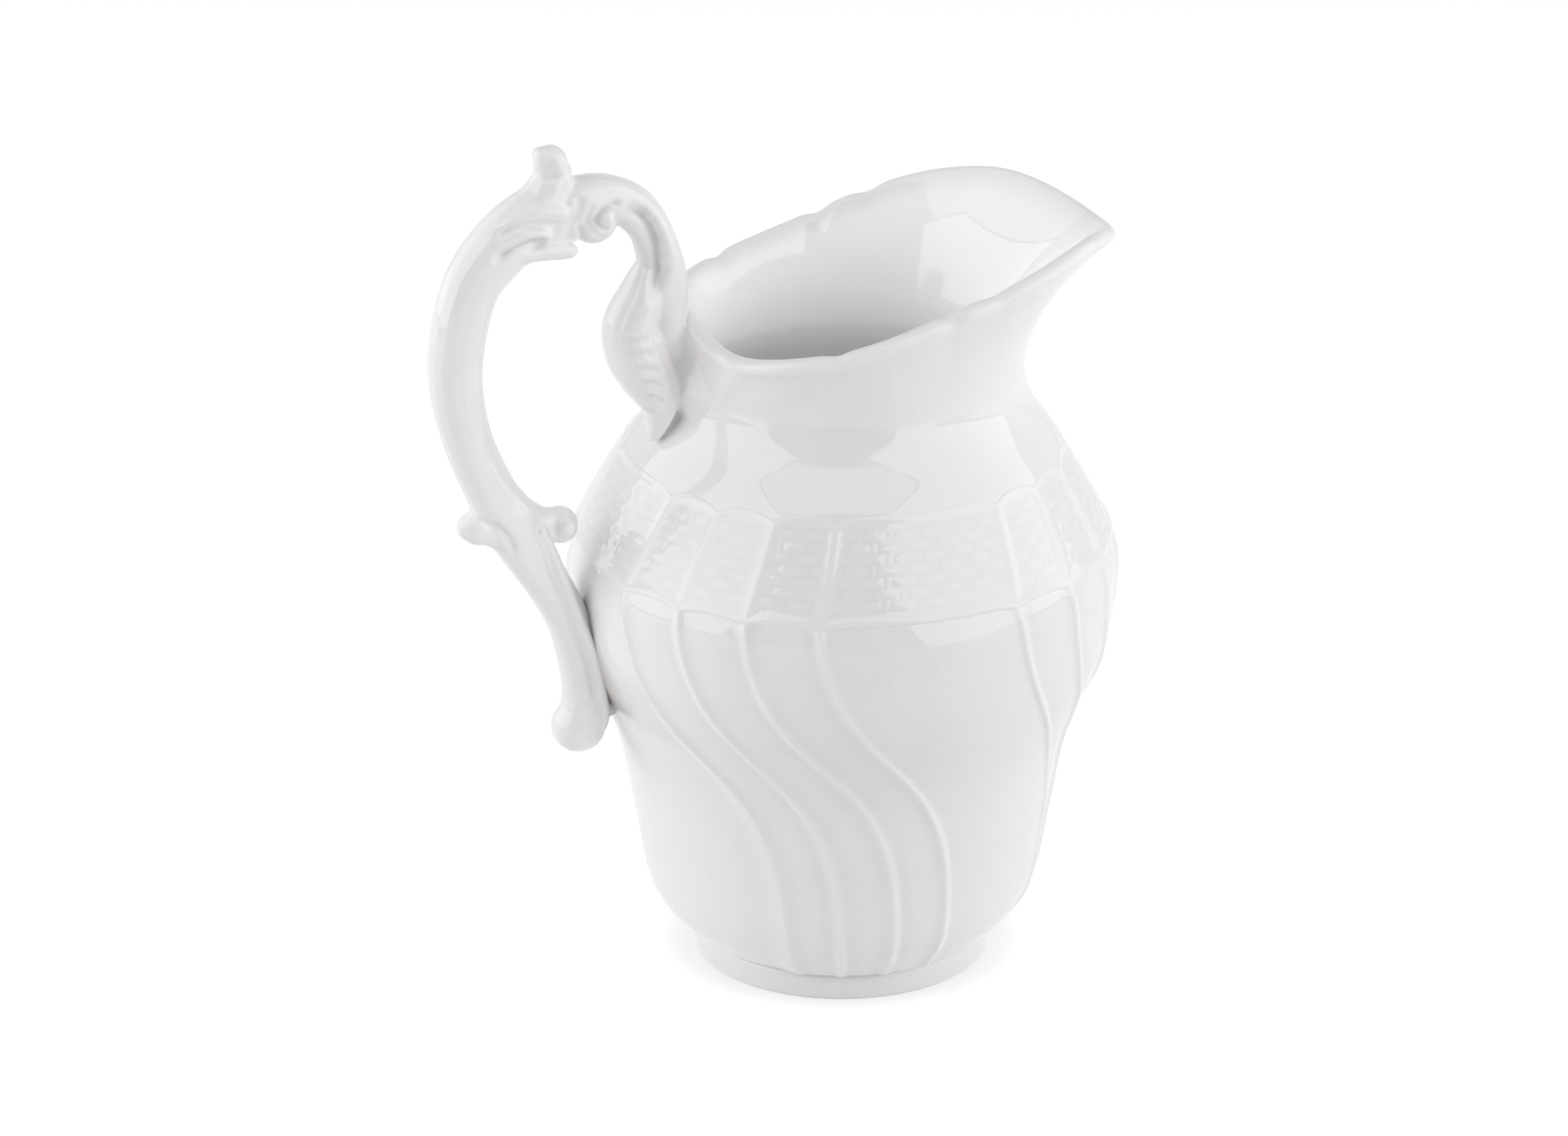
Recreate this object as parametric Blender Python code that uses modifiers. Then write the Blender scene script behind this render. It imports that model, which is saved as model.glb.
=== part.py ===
"""Porcelain milk jug: a bellied body with a pouring lip, a turned foot ring and a scrolled handle.

Metres, +Z up. The spout points along +X, the handle along -X, and the foot stands on Z = 0.
Shapes are worked out about the jug's own axis; at the end the empty that carries them is
moved so that the origin lies under the middle of the whole jug.
"""

import math

import bmesh
import bpy
from mathutils import Matrix, Vector

# Foot ring, and the seams of slip that lute the pieces together
FOOT_RADIUS = 0.0225
FOOT_TAPER = 0.0004
FOOT_WIDTH = 0.0053
FOOT_HEIGHT = 0.0033
FOOT_EDGE = 0.0006
SLIP_THICKNESS = 0.0006
SEAM_GAP = 0.0003

# Turned body: the radius at each station, and its rise above the station below
WALL = 0.0024
HEM_OVERHANG = 0.0031
HEM_RISE = 0.0009
FLANK_RADIUS = 0.0297
FLANK_RISE = 0.0065
BULB_RADIUS = 0.0322
BULB_RISE = 0.0129
WAIST_RADIUS = 0.0348
WAIST_RISE = 0.0126
SWELL_RADIUS = 0.0401
SWELL_RISE = 0.0126
BELLY_RADIUS = 0.0418
BELLY_RISE = 0.0100
BAND_LOW_RADIUS = 0.0410
BAND_LOW_RISE = 0.0085
BAND_TOP_RADIUS = 0.0337
BAND_TOP_RISE = 0.0133
SHOULDER_RADIUS = 0.0284
SHOULDER_RISE = 0.0064
NECK_TUCK = 0.0010
NECK_RISE = 0.0058

# Four shallow lobes that swirl down the belly
LOBES = 4
LOBE_RISE = 0.0005
LOBE_TURN = math.radians(38)
LOBE_LEAN = math.radians(-5)

# Mouth and pouring lip
MOUTH_RADIUS = 0.0268
MOUTH_BACK_TUCK = 0.0014
MOUTH_CORNER_SWELL = 0.0016
RIM_BACK_RISE = 0.0108
LIP_REACH = 0.0443
LIP_RISE = 0.0108
LIP_DROOP = 0.0040
LIP_DROOP_START = 0.0330
LIP_ROUND = 0.0009
NECK_LIP_PULL = 0.0019
RIM_RISE_START = -0.0220
RIM_RISE_END = 0.0340
FLARE_POWER = 1.75

# Handle: tail up from the belly, grip at the back, crook over to the mouth
TAIL_RADIUS = 0.0034
TAIL_STANDOFF = 0.0020
BALL_RADIUS = 0.0046
BALL_HEIGHT = 0.0433
BALL_STANDOFF = 0.0053
KNOT_RADIUS = 0.0039
KNOT_STANDOFF = 0.0096
KNOT_RISE = 0.0295
NUB_RADIUS = 0.0027
NUB_OUT_SETBACK = 0.0084
NUB_IN_ADVANCE = 0.0062
NUB_RISE = 0.0045
INNER_NUB_WIDTH = 1.3
GRIP_RADIUS = 0.0043
GRIP_SETBACK = 0.0145
GRIP_MID_RISE = 0.0302
SPLIT_STANDOFF = 0.0176
THUMB_RADIUS = 0.0024
THUMB_SETBACK = 0.0037
THUMB_RISE = 0.0324
LEAF_RADIUS = 0.0019
LEAF_DROP = 0.0108
CROOK_RADIUS = 0.0034
CROOK_DROP = 0.0054
VOLUTE_RADIUS = 0.0019
VOLUTE_HALF_WIDTH = 0.0042
VOLUTE_ADVANCE = 0.0054
VOLUTE_DROP = 0.0073
WHORL_RADIUS = 0.0037
WHORL_WIDTH = 0.85
SHELL_RADIUS = 0.0068
SHELL_STANDOFF = 0.0054
SHELL_DROP = 0.0023
SHELL_SEAT_LENGTH = 0.0182

# Heights over the plane it stands on, and reaches from the jug's axis, that follow from these
FOOT_TOP_RADIUS = FOOT_RADIUS - FOOT_TAPER
FOOT_BORE_RADIUS = FOOT_RADIUS - FOOT_WIDTH
HEM_RADIUS = FOOT_TOP_RADIUS + HEM_OVERHANG
NECK_RADIUS = MOUTH_RADIUS - NECK_TUCK
MOUTH_BACK_REACH = MOUTH_RADIUS - MOUTH_BACK_TUCK
BASE_HEIGHT = FOOT_HEIGHT + SLIP_THICKNESS + 2 * SEAM_GAP
HEM_HEIGHT = BASE_HEIGHT + HEM_RISE
FLANK_HEIGHT = HEM_HEIGHT + FLANK_RISE
BULB_HEIGHT = FLANK_HEIGHT + BULB_RISE
WAIST_HEIGHT = BULB_HEIGHT + WAIST_RISE
SWELL_HEIGHT = WAIST_HEIGHT + SWELL_RISE
BELLY_HEIGHT = SWELL_HEIGHT + BELLY_RISE
BAND_LOW_HEIGHT = BELLY_HEIGHT + BAND_LOW_RISE
BAND_TOP_HEIGHT = BAND_LOW_HEIGHT + BAND_TOP_RISE
SHOULDER_HEIGHT = BAND_TOP_HEIGHT + SHOULDER_RISE
NECK_HEIGHT = SHOULDER_HEIGHT + NECK_RISE
RIM_BACK_HEIGHT = NECK_HEIGHT + RIM_BACK_RISE
LIP_HEIGHT = RIM_BACK_HEIGHT + LIP_RISE
KNOT_REACH = BELLY_RADIUS + KNOT_STANDOFF
KNOT_HEIGHT = BALL_HEIGHT + KNOT_RISE
NUB_OUT_REACH = KNOT_REACH + NUB_OUT_SETBACK
NUB_IN_REACH = KNOT_REACH - NUB_IN_ADVANCE
NUB_HEIGHT = KNOT_HEIGHT + NUB_RISE
GRIP_REACH = KNOT_REACH + GRIP_SETBACK
GRIP_MID_HEIGHT = KNOT_HEIGHT + GRIP_MID_RISE
SPLIT_REACH = MOUTH_BACK_REACH + SPLIT_STANDOFF
THUMB_REACH = SPLIT_REACH + THUMB_SETBACK
THUMB_HEIGHT = GRIP_MID_HEIGHT + THUMB_RISE
LEAF_HEIGHT = THUMB_HEIGHT - LEAF_DROP
CROOK_TOP_HEIGHT = THUMB_HEIGHT - CROOK_DROP
VOLUTE_REACH = SPLIT_REACH - VOLUTE_ADVANCE
VOLUTE_HEIGHT = CROOK_TOP_HEIGHT - VOLUTE_DROP
SHELL_HEIGHT = RIM_BACK_HEIGHT - SHELL_DROP
SHELL_TIP_HEIGHT = RIM_BACK_HEIGHT - SHELL_SEAT_LENGTH

# Fineness of the meshes
BODY_STEPS = 64
ROWS_PER_SPAN = 3
NECK_ROWS = 6
BAR_STEPS = 4
BAR_SIDES_RESOLUTION = 4
BALL_SEGMENTS = 16
BALL_RINGS = 10
LIP_SEGMENTS = 2
SHARP_ANGLE = math.radians(40)
LIP_EDGE_ANGLE = math.radians(75)

# Porcelain: colour, roughness
GLAZED = ((0.84, 0.835, 0.825, 1.0), 0.08)
BISCUIT = ((0.80, 0.785, 0.76, 1.0), 0.60)
SLIP = ((0.82, 0.815, 0.80, 1.0), 0.15)

MERGE = 0.0001


def smooth_step(value):
    share = min(max(value, 0.0), 1.0)
    return share * share * (3.0 - 2.0 * share)


def smooth_run(stations, steps):
    """Points along a Catmull-Rom curve through the stations, each a tuple of numbers."""
    run = []
    last = len(stations) - 1
    for index in range(last):
        before = stations[max(index - 1, 0)]
        start = stations[index]
        end = stations[index + 1]
        after = stations[min(index + 2, last)]
        for step in range(steps):
            t = step / steps
            point = []
            for a, b, c, d in zip(before, start, end, after):
                bend = (2 * a - 5 * b + 4 * c - d) * t * t + (3 * b - a - 3 * c + d) * t ** 3
                point.append(b + 0.5 * ((c - a) * t + bend))
            run.append(tuple(point))
    run.append(tuple(stations[last]))
    return run


def turned_wall():
    """Radius and height down the outside of the turned body, from the neck to the hem."""
    stations = (
        (NECK_RADIUS, NECK_HEIGHT),
        (SHOULDER_RADIUS, SHOULDER_HEIGHT),
        (BAND_TOP_RADIUS, BAND_TOP_HEIGHT),
        (BAND_LOW_RADIUS, BAND_LOW_HEIGHT),
        (BELLY_RADIUS, BELLY_HEIGHT),
        (SWELL_RADIUS, SWELL_HEIGHT),
        (WAIST_RADIUS, WAIST_HEIGHT),
        (BULB_RADIUS, BULB_HEIGHT),
        (FLANK_RADIUS, FLANK_HEIGHT),
        (HEM_RADIUS, HEM_HEIGHT),
    )
    return smooth_run(stations, ROWS_PER_SPAN)


def wall_radius(height):
    """Radius of the turned body at a height, straight between the rows of its wall."""
    rows = turned_wall()
    for (r_above, z_above), (r_below, z_below) in zip(rows, rows[1:]):
        if z_below <= height <= z_above:
            share = (height - z_below) / (z_above - z_below)
            return r_below + share * (r_above - r_below)
    return rows[0][0] if height > rows[0][1] else rows[-1][0]


def lip_share(angle):
    """1 at the tip of the pouring lip, falling to 0 at the sides of the mouth."""
    if math.cos(angle) <= 0:
        return 0.0
    return 0.5 * (1.0 - abs(math.sin(angle)) + math.cos(angle) ** 2)


def rim_radius(angle):
    if math.cos(angle) > 0:
        return MOUTH_RADIUS + (LIP_REACH - MOUTH_RADIUS) * lip_share(angle)
    corner = MOUTH_CORNER_SWELL * math.sin(2 * angle) ** 2
    return MOUTH_RADIUS + corner + (MOUTH_BACK_REACH - MOUTH_RADIUS) * math.cos(angle) ** 4


def rim_height(angle):
    reach = rim_radius(angle) * math.cos(angle)
    rise = smooth_step((reach - RIM_RISE_START) / (RIM_RISE_END - RIM_RISE_START))
    droop = max(reach - LIP_DROOP_START, 0.0) / (LIP_REACH - LIP_DROOP_START)
    return RIM_BACK_HEIGHT + (LIP_HEIGHT - RIM_BACK_HEIGHT) * rise - LIP_DROOP * droop ** 2


def neck_radius(angle):
    return NECK_RADIUS + NECK_LIP_PULL * lip_share(angle)


def drawn(radius, height, angle):
    """Where a point of the turned body ends up once the mouth is drawn and the lobes are pressed."""
    if height > NECK_HEIGHT:
        share = (height - NECK_HEIGHT) / (RIM_BACK_HEIGHT - NECK_HEIGHT)
        spread = share ** FLARE_POWER
        at_neck = neck_radius(angle) + radius - NECK_RADIUS
        new_radius = at_neck + (rim_radius(angle) - neck_radius(angle)) * spread
        return new_radius, NECK_HEIGHT + (rim_height(angle) - NECK_HEIGHT) * share
    if height > BAND_TOP_HEIGHT:
        pull = smooth_step((height - BAND_TOP_HEIGHT) / (NECK_HEIGHT - BAND_TOP_HEIGHT))
        return radius + (neck_radius(angle) - NECK_RADIUS) * pull, height
    down = (BAND_LOW_HEIGHT - height) / (BAND_LOW_HEIGHT - HEM_HEIGHT)
    past_foot = smooth_step((radius - FOOT_TOP_RADIUS) / (HEM_RADIUS - FOOT_TOP_RADIUS))
    strength = smooth_step(2.0 * down) * past_foot
    turn = math.pi / LOBES + LOBE_LEAN + LOBE_TURN * smooth_step(down)
    return radius + LOBE_RISE * strength * math.cos(LOBES * (angle - turn)), height


def material(name, finish):
    colour, roughness = finish
    made = bpy.data.materials.new(name)
    made.use_nodes = True
    shader = made.node_tree.nodes["Principled BSDF"]
    shader.inputs["Base Color"].default_value = colour
    shader.inputs["Roughness"].default_value = roughness
    shader.inputs["Metallic"].default_value = 0.0
    made.diffuse_color = colour
    return made


def add_object(name, data, collection):
    obj = bpy.data.objects.new(name, data)
    collection.objects.link(obj)
    return obj


def helper(obj):
    obj.hide_render = True
    obj.display_type = "WIRE"
    return obj


def turned(name, profile, collection, closed=False):
    """A profile in the XZ plane, listed down its outer side, turned about Z."""
    mesh = bpy.data.meshes.new(name)
    count = len(profile)
    edges = [(i, i + 1) for i in range(count - 1)]
    if closed:
        edges.append((count - 1, 0))
    mesh.from_pydata([(radius, 0.0, height) for radius, height in profile], edges, [])
    obj = add_object(name, mesh, collection)
    screw = obj.modifiers.new("turn", "SCREW")
    screw.steps = BODY_STEPS
    screw.render_steps = BODY_STEPS
    screw.use_merge_vertices = True
    screw.merge_threshold = MERGE
    return obj


def settle(obj):
    """Replaces the object's data by the mesh that its modifiers or its bevel give."""
    bpy.context.view_layer.update()
    graph = bpy.context.evaluated_depsgraph_get()
    mesh = bpy.data.meshes.new_from_object(obj.evaluated_get(graph))
    bm = bmesh.new()
    bm.from_mesh(mesh)
    bmesh.ops.remove_doubles(bm, verts=bm.verts, dist=MERGE / 10)
    bmesh.ops.recalc_face_normals(bm, faces=bm.faces)
    bm.to_mesh(mesh)
    bm.free()
    mesh.name = obj.name
    settled = add_object(obj.name + "_settled", mesh, obj.users_collection[0])
    name = obj.name
    bpy.data.objects.remove(obj)
    settled.name = name
    return settled


def vessel_profile():
    """The body's outside from its mouth to the middle of its base, before the mouth is drawn."""
    profile = []
    for row in range(NECK_ROWS, 0, -1):
        profile.append((NECK_RADIUS, NECK_HEIGHT + (RIM_BACK_HEIGHT - NECK_HEIGHT) * row / NECK_ROWS))
    profile += turned_wall()
    profile.append((FOOT_TOP_RADIUS, BASE_HEIGHT))
    profile.append((0.0, BASE_HEIGHT))
    return profile


def draw_mouth(obj):
    for vertex in obj.data.vertices:
        x, y, z = vertex.co
        radius = math.hypot(x, y)
        if radius < MERGE:
            continue
        angle = math.atan2(y, x)
        new_radius, new_height = drawn(radius, z, angle)
        vertex.co = (new_radius * math.cos(angle), new_radius * math.sin(angle), new_height)
    return obj


def body(collection):
    shell = draw_mouth(settle(turned("body", vessel_profile(), collection)))
    wall = shell.modifiers.new("wall", "SOLIDIFY")
    wall.thickness = WALL
    wall.offset = -1.0
    wall.use_even_offset = True
    lip = shell.modifiers.new("lip", "BEVEL")
    lip.width = min(LIP_ROUND, 0.45 * WALL)
    lip.segments = LIP_SEGMENTS
    lip.limit_method = "ANGLE"
    lip.angle_limit = LIP_EDGE_ANGLE
    return shell


def vessel_form(name, offset, collection):
    """The body's outside as a plain closed block, swollen by an offset, to cut the handle's seats."""
    profile = [(0.0, RIM_BACK_HEIGHT)] + vessel_profile()
    block = draw_mouth(settle(turned(name, profile, collection)))
    swell = block.modifiers.new("swell", "DISPLACE")
    swell.strength = offset
    swell.mid_level = 0.0
    return helper(block)


def foot_ring(collection):
    profile = [
        (FOOT_TOP_RADIUS, FOOT_HEIGHT),
        (FOOT_RADIUS, FOOT_EDGE),
        (FOOT_RADIUS - FOOT_EDGE, 0.0),
        (FOOT_BORE_RADIUS + FOOT_EDGE, 0.0),
        (FOOT_BORE_RADIUS, FOOT_EDGE),
        (FOOT_BORE_RADIUS, FOOT_HEIGHT),
    ]
    return turned("foot_ring", profile, collection, closed=True)


def foot_seat_slip(collection):
    low = FOOT_HEIGHT + SEAM_GAP
    high = low + SLIP_THICKNESS
    outer = FOOT_TOP_RADIUS - SEAM_GAP
    inner = FOOT_BORE_RADIUS + SEAM_GAP
    profile = [(outer, high), (outer, low), (inner, low), (inner, high)]
    return turned("foot_seat_slip", profile, collection, closed=True)


def bar(name, stations, collection):
    """A tapered round bar in the XZ plane; each station is x, z and the bar's radius there."""
    curve = bpy.data.curves.new(name, "CURVE")
    curve.dimensions = "3D"
    curve.bevel_depth = 1.0
    curve.bevel_resolution = BAR_SIDES_RESOLUTION
    curve.use_fill_caps = True
    run = smooth_run(stations, BAR_STEPS)
    spline = curve.splines.new("POLY")
    spline.points.add(len(run) - 1)
    for point, (x, z, radius) in zip(spline.points, run):
        point.co = (x, 0.0, z, 1.0)
        point.radius = radius
    return settle(add_object(name, curve, collection))


def ball(name, centre, radius, collection, width=1.0):
    """A round end in the XZ plane, stretched across the handle by width."""
    mesh = bpy.data.meshes.new(name)
    bm = bmesh.new()
    bmesh.ops.create_uvsphere(bm, u_segments=BALL_SEGMENTS, v_segments=BALL_RINGS, radius=radius)
    bmesh.ops.scale(bm, vec=(1.0, width, 1.0), verts=bm.verts)
    bmesh.ops.translate(bm, vec=(centre[0], 0.0, centre[1]), verts=bm.verts)
    bm.to_mesh(mesh)
    bm.free()
    return add_object(name, mesh, collection)


def half_space(name, direction, edge, collection):
    """A block past a flat joint between two limbs: direction points into it, edge is where it starts."""
    size = 4 * CROOK_TOP_HEIGHT
    mesh = bpy.data.meshes.new(name)
    bm = bmesh.new()
    bmesh.ops.create_cube(bm, size=size)
    bmesh.ops.translate(bm, vec=Vector(direction) * (edge + size / 2), verts=bm.verts)
    bm.to_mesh(mesh)
    bm.free()
    return helper(add_object(name, mesh, collection))


def combine(obj, operation, others):
    for other in others:
        step = obj.modifiers.new(operation.lower() + "_" + other.name, "BOOLEAN")
        step.operation = operation
        step.object = helper(other)
        step.solver = "EXACT"
    return obj


def grip_stations():
    back = -(GRIP_REACH - GRIP_RADIUS)
    knot = -KNOT_REACH
    foot_of_thumb = -THUMB_REACH
    lower_rise = GRIP_MID_HEIGHT - KNOT_HEIGHT
    upper_rise = THUMB_HEIGHT - GRIP_MID_HEIGHT
    return (
        (knot + 0.30 * KNOT_RADIUS, KNOT_HEIGHT - 0.5 * KNOT_RADIUS, KNOT_RADIUS),
        (0.80 * knot + 0.20 * back, NUB_HEIGHT + 0.2 * KNOT_RADIUS, 1.15 * KNOT_RADIUS),
        (0.52 * knot + 0.48 * back, KNOT_HEIGHT + 0.30 * lower_rise, 0.88 * GRIP_RADIUS),
        (0.13 * knot + 0.87 * back, KNOT_HEIGHT + 0.65 * lower_rise, 0.88 * GRIP_RADIUS),
        (back, GRIP_MID_HEIGHT, GRIP_RADIUS),
        (0.83 * back + 0.17 * foot_of_thumb, GRIP_MID_HEIGHT + 0.36 * upper_rise, 1.02 * GRIP_RADIUS),
        (0.45 * back + 0.55 * foot_of_thumb, GRIP_MID_HEIGHT + 0.57 * upper_rise, 1.12 * GRIP_RADIUS),
        (foot_of_thumb - 0.25 * THUMB_RADIUS, THUMB_HEIGHT - 3.6 * THUMB_RADIUS, 0.86 * GRIP_RADIUS),
        (foot_of_thumb + 0.25 * THUMB_RADIUS, THUMB_HEIGHT - 2.0 * THUMB_RADIUS, 1.33 * THUMB_RADIUS),
        (foot_of_thumb, THUMB_HEIGHT - 0.9 * THUMB_RADIUS, THUMB_RADIUS),
        (foot_of_thumb - 0.12 * THUMB_RADIUS, THUMB_HEIGHT - 0.12 * THUMB_RADIUS, 0.5 * THUMB_RADIUS),
    )


def handle_grip(collection, cutters):
    grip = bar("handle_grip", grip_stations(), collection)
    tip = -SPLIT_REACH + 0.5 * LEAF_RADIUS
    root = -0.5 * (SPLIT_REACH + GRIP_REACH - GRIP_RADIUS)
    upper_leaf = bar(
        "upper_leaf",
        (
            (root, LEAF_HEIGHT - 2.2 * LEAF_RADIUS, LEAF_RADIUS),
            (tip - 2.6 * LEAF_RADIUS, LEAF_HEIGHT - 0.5 * LEAF_RADIUS, 1.3 * LEAF_RADIUS),
            (tip, LEAF_HEIGHT, 1.1 * LEAF_RADIUS),
        ),
        cutters,
    )
    lower_leaf = bar(
        "lower_leaf",
        (
            (root - 2.2 * LEAF_RADIUS, LEAF_HEIGHT - 3.6 * LEAF_RADIUS, LEAF_RADIUS),
            (tip - 3.2 * LEAF_RADIUS, LEAF_HEIGHT - 2.5 * LEAF_RADIUS, LEAF_RADIUS),
            (tip, LEAF_HEIGHT - 2.5 * LEAF_RADIUS, LEAF_RADIUS),
        ),
        cutters,
    )
    leaf_web = bar(
        "leaf_web",
        (
            (root, LEAF_HEIGHT - 2.6 * LEAF_RADIUS, 1.6 * LEAF_RADIUS),
            (tip, LEAF_HEIGHT - 0.6 * LEAF_RADIUS, 1.9 * LEAF_RADIUS),
        ),
        cutters,
    )
    knot_middle = (-KNOT_REACH - 0.45 * KNOT_RADIUS, NUB_HEIGHT + 0.5 * KNOT_RADIUS)
    inner_nub_height = NUB_HEIGHT - 0.6 * NUB_RADIUS
    outer_nub = bar(
        "outer_nub",
        (
            (*knot_middle, 0.8 * KNOT_RADIUS),
            (-NUB_OUT_REACH + 1.1 * NUB_RADIUS, NUB_HEIGHT + 0.3 * NUB_RADIUS, 1.1 * NUB_RADIUS),
            (-NUB_OUT_REACH, NUB_HEIGHT, NUB_RADIUS),
            (-NUB_OUT_REACH - 0.6 * NUB_RADIUS, NUB_HEIGHT, 0.75 * NUB_RADIUS),
            (-NUB_OUT_REACH - 0.95 * NUB_RADIUS, NUB_HEIGHT, 0.2 * NUB_RADIUS),
        ),
        cutters,
    )
    inner_nub = ball("inner_nub", (-NUB_IN_REACH, inner_nub_height), NUB_RADIUS, cutters, INNER_NUB_WIDTH)
    inner_arm = bar(
        "inner_arm",
        (
            (*knot_middle, 0.8 * KNOT_RADIUS),
            (-NUB_IN_REACH - 1.1 * NUB_RADIUS, NUB_HEIGHT, 0.9 * NUB_RADIUS),
            (-NUB_IN_REACH, inner_nub_height, 0.6 * NUB_RADIUS),
        ),
        cutters,
    )
    combine(grip, "UNION", (upper_leaf, lower_leaf, leaf_web, outer_nub, inner_arm, inner_nub))
    beyond_leaf = half_space("beyond_leaf", (1, 0, 0), -SPLIT_REACH - SEAM_GAP / 2, cutters)
    below_knot = half_space("below_knot", (0, 0, -1), -KNOT_HEIGHT - SEAM_GAP / 2, cutters)
    return combine(grip, "DIFFERENCE", (beyond_leaf, below_knot))


def crook_stations():
    top = CROOK_TOP_HEIGHT
    neck = -(NECK_RADIUS + SHELL_STANDOFF)
    over = -(MOUTH_BACK_REACH + 1.1 * CROOK_RADIUS)
    drop = top - SHELL_HEIGHT
    low = SHELL_TIP_HEIGHT + 0.50 * (SHELL_HEIGHT - SHELL_TIP_HEIGHT)
    near_tip = SHELL_TIP_HEIGHT + 0.19 * (SHELL_HEIGHT - SHELL_TIP_HEIGHT)
    return (
        (-SPLIT_REACH - 0.6 * CROOK_RADIUS, top - 1.50 * CROOK_RADIUS, 1.50 * CROOK_RADIUS),
        (-SPLIT_REACH + 0.9 * CROOK_RADIUS, top - 1.24 * CROOK_RADIUS, 1.30 * CROOK_RADIUS),
        (-SPLIT_REACH + 2.4 * CROOK_RADIUS, top - 1.38 * CROOK_RADIUS, 0.95 * CROOK_RADIUS),
        (over - 0.45 * CROOK_RADIUS, top - 0.31 * drop, 0.97 * CROOK_RADIUS),
        (over, top - 0.495 * drop, 1.05 * CROOK_RADIUS),
        (over - 0.3 * CROOK_RADIUS, top - 0.73 * drop, 0.45 * (CROOK_RADIUS + SHELL_RADIUS)),
        (neck - 0.06 * SHELL_RADIUS, top - 0.91 * drop, SHELL_RADIUS),
        (neck, SHELL_TIP_HEIGHT + 0.82 * (SHELL_HEIGHT - SHELL_TIP_HEIGHT), SHELL_RADIUS),
        (-wall_radius(low) - 0.45 * SHELL_RADIUS, low, 0.64 * SHELL_RADIUS),
        (-wall_radius(near_tip) - 0.14 * SHELL_RADIUS, near_tip, 0.42 * SHELL_RADIUS),
        (-wall_radius(SHELL_TIP_HEIGHT), SHELL_TIP_HEIGHT, 0.2 * SHELL_RADIUS),
    )


def volute(collection):
    """The eye of the scroll, a short round boss across the handle."""
    mesh = bpy.data.meshes.new("volute")
    bm = bmesh.new()
    bmesh.ops.create_cone(
        bm,
        cap_ends=True,
        segments=BALL_SEGMENTS,
        radius1=VOLUTE_RADIUS,
        radius2=VOLUTE_RADIUS,
        depth=2 * VOLUTE_HALF_WIDTH,
    )
    bmesh.ops.rotate(bm, matrix=Matrix.Rotation(math.pi / 2, 3, "X"), verts=bm.verts)
    bmesh.ops.translate(bm, vec=(-VOLUTE_REACH, 0.0, VOLUTE_HEIGHT), verts=bm.verts)
    bm.to_mesh(mesh)
    bm.free()
    return add_object("volute", mesh, collection)


def whorl(collection):
    """The rolled end of the crook round the eye of the scroll."""
    centre = (-VOLUTE_REACH - 0.95 * VOLUTE_RADIUS, VOLUTE_HEIGHT + 0.15 * VOLUTE_RADIUS)
    return ball("whorl", centre, WHORL_RADIUS, collection, WHORL_WIDTH)


def seated(obj, collection, cutters):
    """Cuts the seat of a handle limb to the body, and lays the seam of slip under it."""
    seam = add_object(obj.name.replace("handle_", "") + "_seat_slip", obj.data.copy(), collection)
    near = vessel_form(obj.name + "_slip_under", SEAM_GAP, cutters)
    far = vessel_form(obj.name + "_slip_over", SEAM_GAP + SLIP_THICKNESS, cutters)
    seat = vessel_form(obj.name + "_seat", 2 * SEAM_GAP + SLIP_THICKNESS, cutters)
    combine(seam, "INTERSECT", (far,))
    combine(seam, "DIFFERENCE", (near,))
    combine(obj, "DIFFERENCE", (seat,))
    return obj, seam


def handle_crook(collection, cutters):
    crook = bar("handle_crook", crook_stations(), collection)
    crook, seam = seated(crook, collection, cutters)
    combine(crook, "UNION", (whorl(cutters), volute(cutters)))
    before_crook = half_space("before_crook", (-1, 0, 0), SPLIT_REACH - SEAM_GAP / 2, cutters)
    return combine(crook, "DIFFERENCE", (before_crook,)), seam


def tail_stations():
    upper = 0.5 * (KNOT_HEIGHT + BELLY_HEIGHT)
    lower = 0.5 * (BALL_HEIGHT + BELLY_HEIGHT)
    knot_x = -KNOT_REACH
    ball_x = -wall_radius(BALL_HEIGHT) - BALL_STANDOFF
    return (
        (knot_x - 0.3 * KNOT_RADIUS, KNOT_HEIGHT + 0.5 * KNOT_RADIUS, KNOT_RADIUS),
        (0.48 * knot_x - 0.52 * (BELLY_RADIUS + TAIL_STANDOFF), upper, 1.02 * TAIL_RADIUS),
        (-wall_radius(BELLY_HEIGHT) - 1.3 * TAIL_STANDOFF, BELLY_HEIGHT, 0.97 * TAIL_RADIUS),
        (-wall_radius(lower) - TAIL_STANDOFF, lower, TAIL_RADIUS),
        (ball_x + 0.3 * BALL_RADIUS, BALL_HEIGHT + 0.7 * BALL_RADIUS, 1.15 * TAIL_RADIUS),
        (ball_x, BALL_HEIGHT, 1.05 * TAIL_RADIUS),
    )


def handle_tail(collection, cutters):
    tail = bar("handle_tail", tail_stations(), collection)
    tail, seam = seated(tail, collection, cutters)
    centre = (-wall_radius(BALL_HEIGHT) - BALL_STANDOFF, BALL_HEIGHT)
    end_ball = ball("tail_ball", centre, BALL_RADIUS, cutters)
    combine(tail, "UNION", (end_ball,))
    ball_seat = vessel_form("ball_seat", 2 * SEAM_GAP + SLIP_THICKNESS, cutters)
    above_tail = half_space("above_tail", (0, 0, 1), KNOT_HEIGHT - SEAM_GAP / 2, cutters)
    return combine(tail, "DIFFERENCE", (ball_seat, above_tail)), seam


def finish(obj, surface):
    obj.data.materials.clear()
    obj.data.materials.append(surface)
    obj.data.shade_smooth()
    obj.data.set_sharp_from_angle(angle=SHARP_ANGLE)


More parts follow.
